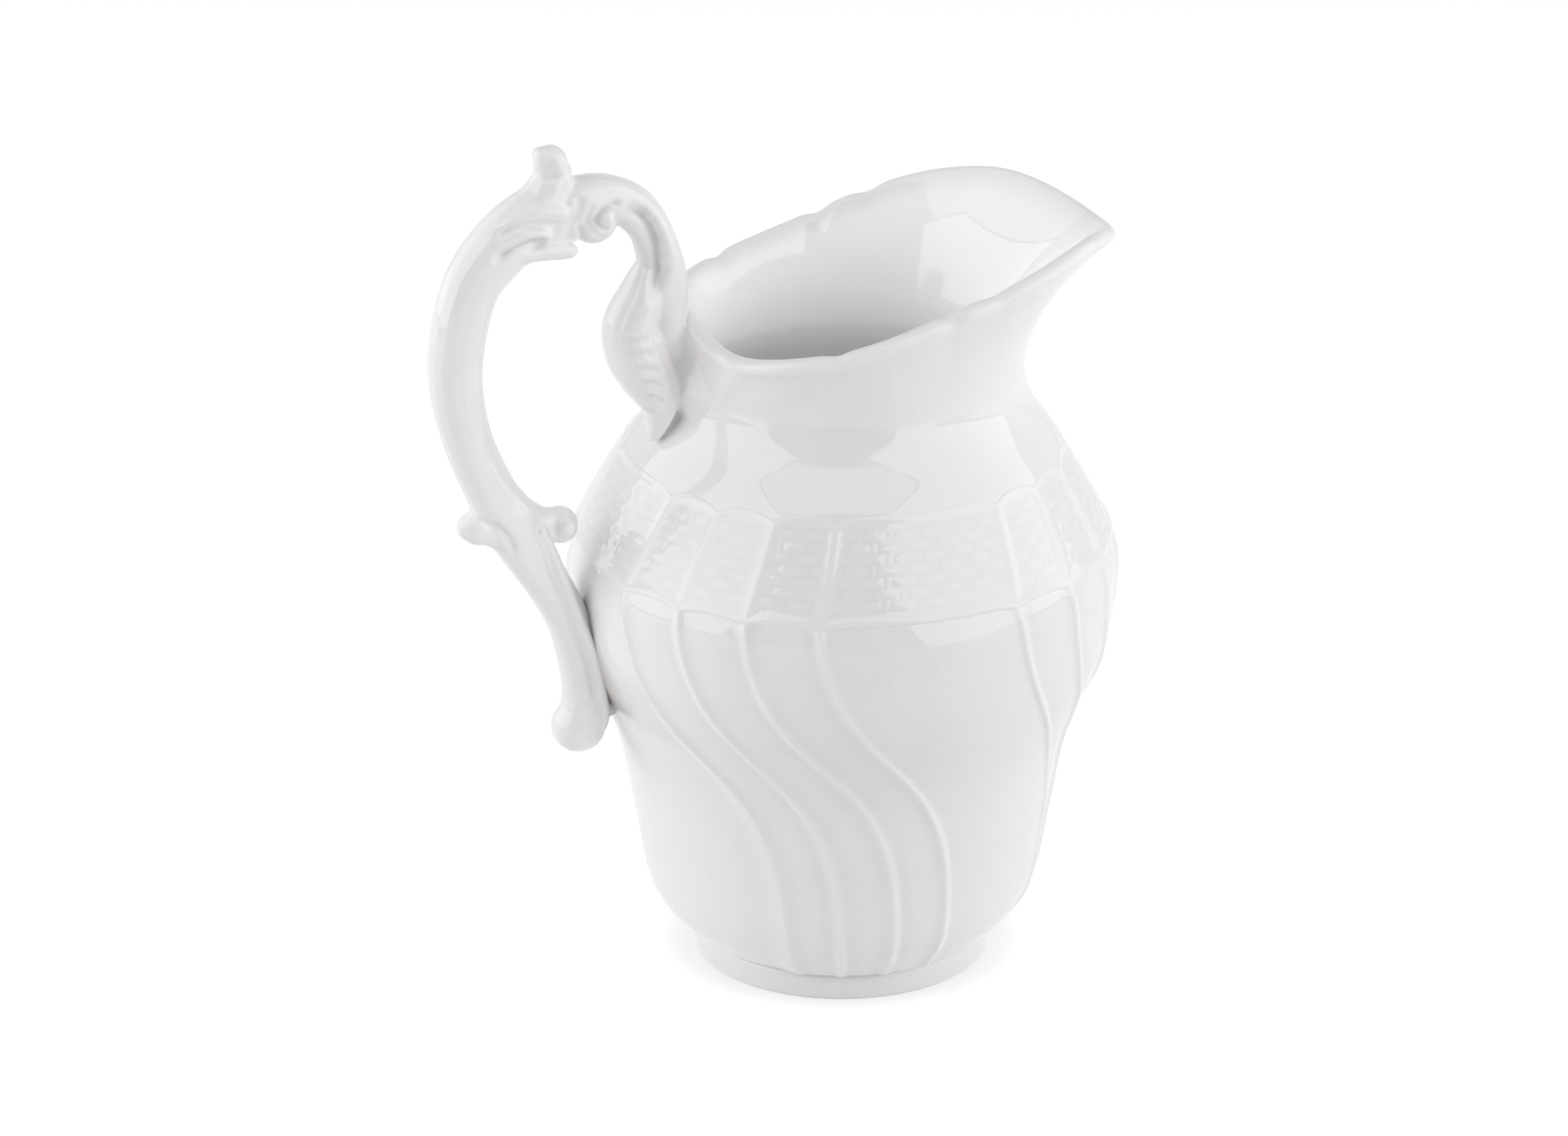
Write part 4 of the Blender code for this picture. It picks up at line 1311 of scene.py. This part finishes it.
def place_web(column, row):
    aside = WEB_ANGLE * (2.0 * column / WEB_COLUMNS - 1.0)
    turn = np.radians(180.0 - aside)
    turn = np.arctan2(np.sin(turn), np.cos(turn))
    up = np.clip(row / WEB_ROWS, 0.0, 1.0)
    level = WEB_LOW + (RIM_BACK_HEIGHT - WEB_UNDER_RIM - WEB_LOW) * up
    ring, level = drawn(np.where(level > NECK_HEIGHT, NECK_RADIUS, wall_radius(level)), level, turn)
    wide = WEB_LOW_ANGLE + (WEB_HIGH_ANGLE - WEB_LOW_ANGLE) * soft_step(up, *WEB_NARROWS)
    swell = np.exp(-((aside / wide) ** 2)) * soft_step(up, 0.0, WEB_GROWS)
    face = ring + WEB_SWELL * swell - WEB_TUCK * (1.0 - swell)
    return np.vstack((round_axis(face, turn, level), round_axis(ring - WEB_BACK, turn, level)))


def closed_web():
    """A grid made thick with Solidify, which copies its points; one set lies on the face, one behind."""
    obj, column, row = flat_grid("web", WEB_COLUMNS, WEB_ROWS)
    obj.modifiers.new("thick", "SOLIDIFY")
    apply_all(obj)
    place_points(obj, place_web(column, row))
    return close_seams(obj)


clay.append(closed_web())
print("web of", len(clay[-1].data.polygons), "faces added")

# %% [markdown]
# ### Pressing the clay together
# Joined meshes still pass through each other. A voxel remesh builds one new skin round all of them, as a
# modeller presses rolls into one lump, and a smoothing pass takes the marks off.

# %% Fuse and smooth
VOXEL = 0.22
SMOOTH_FACTOR = 0.5
SMOOTH_ROUNDS = 13

alone()
for lump_of_clay in clay:
    lump_of_clay.select_set(True)
bpy.context.view_layer.objects.active = clay[0]
bpy.ops.object.join()
handle = named("handle")
skin = handle.modifiers.new("skin", "REMESH")
skin.mode = "VOXEL"
skin.voxel_size = VOXEL * MM
soften = handle.modifiers.new("soften", "SMOOTH")
soften.factor = SMOOTH_FACTOR
soften.iterations = SMOOTH_ROUNDS
apply_all(handle)
print("handle skin:", len(handle.data.polygons), "faces")

# %% [markdown]
# ### Drawing the detail
# A tool stroke presses a line into the clay or raises one beside it. A stroke is a path in the middle plane,
# seen from the side; points of both flanks near it move along their normals, most in the middle of the
# stroke and less towards its ends. Each stroke below has a name, a path of x and height, half its width,
# how far it lifts, and the share of the path over which each end dies out.

# %% Tool strokes
FAR_AWAY = 1e9
TINY = 1e-12


def path_distance(points, path):
    """Distance of points from a path in the plane of x and height, and the share along it."""
    best = np.full(len(points), FAR_AWAY)
    share = np.zeros(len(points))
    lengths = np.hypot(*np.diff(path, axis=0).T)
    total = lengths.sum()
    before = 0.0
    for start, end, length in zip(path, path[1:], lengths):
        edge = end - start
        along = np.clip(((points - start) @ edge) / max(length**2, TINY), 0.0, 1.0)
        away = np.hypot(*(points - start - along[:, None] * edge).T)
        nearer = away < best
        best = np.where(nearer, away, best)
        share = np.where(nearer, (before + along * length) / total, share)
        before += length
    return best, share


STROKE_STEPS = 6
FLANK = (0.15, 0.5)


def stroke(obj, stations, half_width, lift, fade):
    """Raises or presses a line on both flanks."""
    path = smooth_run(stations, STROKE_STEPS)
    points = points_of(obj)
    normals = raw_points(obj, "normal")
    away, share = path_distance(points[:, (0, 2)], path)
    ends = soft_step(share, 0.0, fade) * soft_step(1.0 - share, 0.0, fade) if fade > 0 else 1.0
    flank = soft_step(np.abs(normals[:, 1]), *FLANK)
    move = lift * np.exp(-((away / half_width) ** 2)) * ends * flank
    place_points(obj, points + move[:, None] * normals)
    return move


print("tool ready")

# %% Strokes of the tool
STROKES = (
    ("thumb scoop", ((-48.2, 134.0), (-47.1, 132.3), (-46.6, 130.1)), 1.2, -0.5, 0.3),
    ("thumb fold", ((-45.2, 132.6), (-44.5, 130.6), (-44.3, 128.6)), 0.6, 0.15, 0.3),
    (
        "vein over upper lobe",
        ((-59.2, 122.7), (-56.5, 125.8), (-53.7, 128.1), (-50.5, 129.0), (-47.3, 129.2)),
        0.5, -0.3, 0.3,
    ),
    (
        "vein under upper lobe",
        ((-56.8, 122.8), (-53.6, 124.7), (-50.4, 124.8), (-47.2, 124.2)),
        0.55, -0.6, 0.25,
    ),
    (
        "recess over lower lobe",
        ((-57.4, 119.8), (-53.6, 121.4), (-50.0, 121.8), (-47.6, 121.6)),
        0.8, -0.95, 0.25,
    ),
    (
        "leaf crease",
        (
            (-43.1, 128.4), (-43.1, 127.0), (-43.5, 125.2), (-44.5, 123.2), (-44.8, 121.8),
            (-43.4, 120.9),
        ),
        0.8, -0.28, 0.12,
    ),
    (
        "whorl groove",
        ((-40.6, 127.3), (-41.7, 125.2), (-41.4, 122.9), (-39.9, 121.2), (-38.0, 121.2)),
        0.6, -0.32, 0.2,
    ),
    (
        "eye groove",
        (
            (-36.4, 126.4), (-38.4, 126.2), (-40.0, 125.0), (-40.4, 123.4), (-39.3, 122.2),
            (-37.8, 122.3),
        ),
        0.5, -0.65, 0.15,
    ),
    (
        "arch flute",
        (
            (-37.2, 124.9), (-34.7, 124.6), (-32.7, 122.5), (-31.6, 119.6), (-31.3, 116.4),
            (-31.3, 113.2), (-32.2, 109.6),
        ),
        1.25, -1.0, 0.2,
    ),
    ("flute pit 1", ((-32.9, 124.6), (-32.5, 124.0)), 0.85, -0.36, 0.0),
    ("flute pit 2", ((-31.4, 122.6), (-31.1, 122.0)), 0.85, -0.36, 0.0),
    ("flute pit 3", ((-30.5, 120.2), (-30.3, 119.6)), 0.85, -0.36, 0.0),
    ("flute pit 4", ((-29.9, 117.8), (-29.8, 117.2)), 0.85, -0.36, 0.0),
    ("flute pit 5", ((-29.7, 115.4), (-29.7, 114.8)), 0.80, -0.32, 0.0),
    (
        "arch ridge",
        (
            (-42.2, 129.2), (-39.2, 129.2), (-36.0, 128.2), (-33.1, 126.0), (-30.5, 122.8),
            (-29.1, 120.0), (-28.1, 116.0), (-27.7, 112.0),
        ),
        0.7, 0.22, 0.2,
    ),
    (
        "shell edge",
        (
            (-31.6, 106.0), (-30.0, 103.0), (-28.8, 99.6), (-28.2, 96.4), (-28.3, 93.4),
            (-29.2, 90.4), (-30.4, 88.6),
        ),
        0.6, 0.25, 0.12,
    ),
    ("flute 1", ((-37.4, 105.0), (-34.6, 105.2), (-32.4, 104.6)), 0.62, -0.45, 0.3),
    ("flute 2", ((-37.2, 103.2), (-34.2, 103.3), (-31.5, 102.6)), 0.62, -0.52, 0.3),
    ("flute 3", ((-36.4, 100.9), (-33.4, 100.6), (-30.7, 99.7)), 0.62, -0.55, 0.3),
    ("flute 4", ((-35.4, 98.4), (-32.6, 98.0), (-30.3, 97.0)), 0.62, -0.55, 0.3),
    ("flute 5", ((-34.2, 95.9), (-32.0, 95.3), (-30.2, 94.4)), 0.62, -0.50, 0.3),
    ("flute 6", ((-33.2, 93.3), (-31.8, 92.7), (-30.8, 92.0)), 0.45, -0.40, 0.3),
    (
        "grip inner groove",
        (
            (-55.6, 117.6), (-57.7, 111.0), (-58.6, 103.0), (-58.0, 94.6), (-56.6, 88.6),
            (-54.4, 84.0),
        ),
        0.7, -0.28, 0.2,
    ),
    (
        "grip inner ridge",
        ((-57.6, 89.6), (-56.2, 85.6), (-53.8, 82.4), (-51.6, 79.8), (-50.8, 77.6)),
        0.55, 0.32, 0.25,
    ),
    ("outer nub groove", ((-59.0, 79.2), (-56.4, 77.9), (-54.7, 75.6), (-53.7, 72.6)), 0.6, -0.45, 0.25),
    (
        "nub eye ring",
        (
            (-47.0, 77.0), (-46.9, 75.1), (-45.5, 74.1), (-44.0, 75.0), (-43.7, 76.6),
            (-44.9, 77.8),
        ),
        0.45, -0.16, 0.1,
    ),
    (
        "tail groove",
        (
            (-49.6, 73.8), (-47.2, 67.0), (-45.0, 60.8), (-43.0, 55.2), (-41.8, 49.7),
            (-41.6, 45.6),
        ),
        0.55, -0.30, 0.15,
    ),
)
tooling = np.zeros(len(handle.data.vertices))
for _, stations, half_width, lift, fade in STROKES:
    tooling += stroke(handle, stations, half_width, lift, fade)
print(len(STROKES), "strokes; deepest", round(float(tooling.min()), 2), "mm")

# %% [markdown]
# ### Glaze on the handle
# A last smoothing rounds the strokes, as glaze does. It pools in the grooves, which turn greyer, partly with
# painted shade, and runs thin on the raised lines. The handle's shaded flanks get a painted glow, an emission
# that grows towards the tail.

# %% Glaze in the strokes
STROKE_SMOOTH = 0.4
STROKE_ROUNDS = 3
POOL_AND_SHADE_PER_STROKE = 2.2
SHADED_FROM = (-0.75, -0.1)
SHADED_TO = (0.2, 0.65)
TOP_LIGHT = 0.35
MORE_LIGHT = 0.55
LIGHT_TOP = 110.0
LIGHT_RUN = 45.0

soften = handle.modifiers.new("soften", "SMOOTH")
soften.factor = STROKE_SMOOTH
soften.iterations = STROKE_ROUNDS
apply_all(handle)
# the grooves turn greyer: pooled glaze, and painted shade
set_depth(handle, -POOL_AND_SHADE_PER_STROKE * tooling)
# painted glow on the handle's shaded flanks, stronger towards the tail
facing_jug = raw_points(handle, "normal")[:, 0]
shaded = soft_step(facing_jug, *SHADED_FROM) * (1.0 - soft_step(facing_jug, *SHADED_TO))
lower_down = TOP_LIGHT + MORE_LIGHT * soft_step(LIGHT_TOP - points_of(handle)[:, 2], 0.0, LIGHT_RUN)
set_share(handle, PAINTED_GLOW, shaded * lower_down)
print("handle's shaded flanks:", round(float(shaded.mean()) * 100), "% of its points")

# %% [markdown]
# ### Cutting the handle at its scrolls
# The handle is one sculpt, but the jug's frame knows it as three limbs: grip, crook and tail. It is copied
# three times and each copy is cut with Bisect at the end of a scroll, so the limbs meet without a gap.

# %% Three limbs
SPLIT = (-42.6, 124.0)
SPLIT_LEAN = (0.993, 0.0, 0.119)
SPLIT_BACK = tuple(-part for part in SPLIT_LEAN)
KNOT = (-51.0, 72.8)
UNDER_SHELL = (-40.0, 80.0)
DOWN = (0, 0, -1)
UP = (0, 0, 1)
CAP_ANGLE = math.radians(60)
CUT_TOLERANCE = 1e-7


def limb(name, cuts):
    """A copy of the handle, cut by planes; each cut is a point on the plane and the direction to clear."""
    alone(handle)
    bpy.ops.object.duplicate()
    obj = named(name)
    for (x, z), direction in cuts:
        alone(obj)
        bpy.ops.object.mode_set(mode="EDIT")
        bpy.ops.mesh.select_all(action="SELECT")
        bpy.ops.mesh.bisect(
            plane_co=(x * MM + AXIS_X, 0.0, z * MM),
            plane_no=direction,
            threshold=CUT_TOLERANCE,
            use_fill=True,
            clear_outer=True,
        )
        bpy.ops.object.mode_set(mode="OBJECT")
    return obj


grip = limb("grip", ((SPLIT, SPLIT_LEAN), (KNOT, DOWN)))
crook = limb("crook", ((SPLIT, SPLIT_BACK), (UNDER_SHELL, DOWN)))
tail = limb("tail", ((KNOT, UP),))
bpy.data.objects.remove(handle)
for piece, node in ((grip, "handle_grip"), (crook, "handle_crook"), (tail, "handle_tail")):
    alone(finished(piece, handle_glaze, "glazed_porcelain", node))
    bpy.ops.object.shade_smooth_by_angle(angle=CAP_ANGLE)

# %% [markdown]
# ### Seams of slip
# Handles are stuck on with slip, a cream of clay that is wiped along the joint. A roll of it lies between the
# tail and the belly, and another in the hollow between the shell and the neck.

# %% Slip under tail and crook
TAIL_SEAM_SIZES = (0.7, 1.2, 1.5, 1.6, 1.6, 1.6, 1.6, 1.5)
CROOK_SEAM_SIZES = (1.2, 1.5, 1.6, 1.6, 1.4, 1.1, 0.7)
TAIL_SEAM_ENDS = (62.0, 44.2)
CROOK_SEAM_ENDS = (103.0, 87.6)
SEAM_PROUD = 0.2
SEAM_STEPS = 6
SEAM_ROUNDNESS = 5


def slip_seam(name, ring, heights, sizes):
    """A roll of slip down the back of the body."""
    path = np.column_stack((-ring, np.zeros(len(sizes)), heights, sizes))
    return rolled(name, smooth_run(path, SEAM_STEPS), SEAM_ROUNDNESS)


heights = np.linspace(*TAIL_SEAM_ENDS, len(TAIL_SEAM_SIZES))
tail_seam = slip_seam("tail_seam", wall_radius(heights) + SEAM_PROUD, heights, TAIL_SEAM_SIZES)
finished(tail_seam, slip_glaze, "slip", "tail_seat_slip")

heights = np.linspace(*CROOK_SEAM_ENDS, len(CROOK_SEAM_SIZES))
crook_ring = np.where(heights > NECK_HEIGHT, NECK_RADIUS + SEAM_PROUD, wall_radius(heights))
crook_seam = slip_seam("crook_seam", crook_ring, heights, CROOK_SEAM_SIZES)
finished(crook_seam, slip_glaze, "slip", "crook_seat_slip")

# %% [markdown]
# ## The floor
# The jug stands in a white sweep. The floor looks plain white to the camera but still takes the jug's
# shadow, because only a part of its white is light of its own. Close to the foot that part is smaller, so
# the shadow is deepest there.

# %% Floor
FLOOR_GREY = (0.84, 0.84, 0.84, 1.0)
FLOOR_GLOW = 0.25
FLOOR_GLOW_AWAY = 0.24
NEAR_FOOT = (0.0205, 0.0315)
FLOOR_MIRRORED = 0.42

alone()
bpy.ops.mesh.primitive_plane_add(size=8.0)
floor = named("floor")
floor_paint, floor_shader, start = new_material("floor_paint")
floor_shader.inputs["Base Color"].default_value = FLOOR_GREY
floor_shader.inputs["Roughness"].default_value = 0.9
floor_shader.inputs["Specular IOR Level"].default_value = 0.0
floor_shader.inputs["Emission Strength"].default_value = 1.0
spot = start.node("ShaderNodeTexCoord", out=3)
from_axis = start.node("ShaderNodeVectorMath", {"operation": "SUBTRACT"}, {0: spot, 1: (AXIS_X, 0.0, 0.0)})
away = start.node("ShaderNodeVectorMath", {"operation": "LENGTH"}, {0: from_axis}, out=1)
seen = start.node("ShaderNodeLightPath", out="Is Camera Ray")
mirrored = start.node("ShaderNodeLightPath", out="Is Glossy Ray")
floor_glow = FLOOR_GLOW + FLOOR_GLOW_AWAY * away.between(*NEAR_FOOT)
feed(seen * floor_glow + FLOOR_MIRRORED * mirrored, floor_shader, "Emission Color")
floor.data.materials.append(floor_paint)
print("floor laid")

# %% [markdown]
# ## Soft boxes
# Big soft boxes stand left and right with a gap between them, and one hangs overhead, so the glaze shows
# broad bright patches with a greyer strip down the front. Each side has two lamps: a fill that lights the
# porcelain but isn't mirrored, and a shine that is only mirrored, with its black rim. So the brightness of
# the reflections can be set without changing the light on the jug.

# %% Boxes that face the jug
AIM = np.array((AXIS_X, 0.0, 0.06))


def looking_back(turn, elevation):
    """Directions for a thing that faces the jug: back to it from the jug, across it, and up it."""
    a = math.radians(turn - CAMERA_AZIMUTH)
    e = math.radians(elevation)
    back = np.array((math.sin(a) * math.cos(e), -math.cos(a) * math.cos(e), math.sin(e)))
    across = np.array((math.cos(a), math.sin(a), 0.0))
    return back, across, np.cross(back, across)


def soft_box(name, turn, elevation, away, size, radiance):
    """An area lamp that faces the jug; its power follows from its size and the brightness it should have."""
    alone()
    bpy.ops.object.light_add(type="AREA")
    lamp = named(name)
    width, height = size
    lamp.location = AIM + away * looking_back(turn, elevation)[0]
    lamp.rotation_euler = (math.radians(90 - elevation), 0.0, math.radians(turn - CAMERA_AZIMUTH))
    lamp.data.shape = "RECTANGLE"
    lamp.data.size = width
    lamp.data.size_y = height
    lamp.data.energy = radiance * math.pi * width * height
    lamp.visible_camera = False
    return lamp


def card(name, turn, elevation, away, size, paint):
    """A flat card that faces the jug and shows only in the glaze: it neither lights the jug nor is seen."""
    alone()
    bpy.ops.mesh.primitive_plane_add(size=1.0)
    obj = named(name)
    flat = raw_points(obj)
    back, across, up = looking_back(turn, elevation)
    spots = AIM + away * back + flat[:, :1] * size[0] * across + flat[:, 1:2] * size[1] * up
    obj.data.vertices.foreach_set("co", spots.ravel())
    obj.data.update()
    obj.data.materials.append(paint)
    obj.visible_camera = False
    obj.visible_diffuse = False
    obj.visible_shadow = False
    obj.visible_transmission = False


def studio_paint(name, level, glow):
    """A paint without gloss, with a grey level and a light of its own."""
    made, shader, _ = new_material(name)
    shader.inputs["Base Color"].default_value = (level, level, level, 1.0)
    shader.inputs["Specular IOR Level"].default_value = 0.0
    shader.inputs["Emission Color"].default_value = (1.0, 1.0, 1.0, 1.0)
    shader.inputs["Emission Strength"].default_value = glow
    return made


rim_black = studio_paint("box_rim_black", level=0.02, glow=0.0)
screen_grey = studio_paint("dark_room", level=0.0, glow=0.35)
print("studio paints:", rim_black.name, screen_grey.name)

# %% Soft boxes
FILL_TURNS = {"left": -76.0, "right": 76.0}
FILL_ELEVATION = 17
FILL_AWAY = 0.95
FILL_SIZE = (1.2, 0.7)
FILL_LIGHT = 1.95
SHINE_TURNS = {"left": -85.0, "right": 73.5, "top": 0.0}
SHINE_ELEVATIONS = {"left": 28, "right": 28, "top": 90}
SHINE_AWAY = {"left": 0.90, "right": 0.90, "top": 0.95}
SHINE_SIZES = {"left": (1.5, 1.0), "right": (1.65, 1.0), "top": (1.5, 1.5)}
SHINE_LIGHT = {"left": 2.3, "right": 2.3, "top": 1.6}
RIM_SIZE = 0.02
RIM_BEHIND = 0.01
DARK_ROOM_ELEVATION = 27
DARK_ROOM_AWAY = 1.5
DARK_ROOM_SIZE = (3.4, 2.0)

for side, turn in FILL_TURNS.items():
    fill = soft_box(side + "_fill", turn, FILL_ELEVATION, FILL_AWAY, FILL_SIZE, FILL_LIGHT)
    fill.visible_glossy = False
for side, turn in SHINE_TURNS.items():
    elevation, away, size = SHINE_ELEVATIONS[side], SHINE_AWAY[side], SHINE_SIZES[side]
    shine = soft_box(side + "_shine", turn, elevation, away, size, SHINE_LIGHT[side])
    shine.visible_diffuse = False
    rim = [length + 2 * RIM_SIZE for length in size]
    card(side + "_rim", turn, elevation, away + RIM_BEHIND, rim, rim_black)
card("dark_room", 0.0, DARK_ROOM_ELEVATION, DARK_ROOM_AWAY, DARK_ROOM_SIZE, screen_grey)

# %% [markdown]
# ### The room
# The room itself gives a soft, even light from all sides, with the faint tint of a real studio. The camera and
# the reflections see it as plain white.

# %% World
AMBIENT = 0.43
ROOM_TINT = (1.0, 0.987, 0.993, 1.0)
PLAIN_WHITE = (1.0, 1.0, 1.0, 1.0)

world = bpy.context.scene.world or bpy.data.worlds.new("studio")
bpy.context.scene.world = world
world.use_nodes = True
sky = Wire(world.node_tree)
seen = sky.node("ShaderNodeLightPath", out="Is Camera Ray")
mirrored = sky.node("ShaderNodeLightPath", out="Is Glossy Ray")
let_through = sky.node("ShaderNodeLightPath", out="Is Transmission Ray")
shown = seen + mirrored + let_through
backdrop = world.node_tree.nodes["Background"]
feed(shown.mixed(ROOM_TINT, PLAIN_WHITE), backdrop, "Color")
feed(AMBIENT + (1.0 - AMBIENT) * shown, backdrop, "Strength")
bpy.context.scene.view_settings.view_transform = "Standard"
print("room light:", AMBIENT)
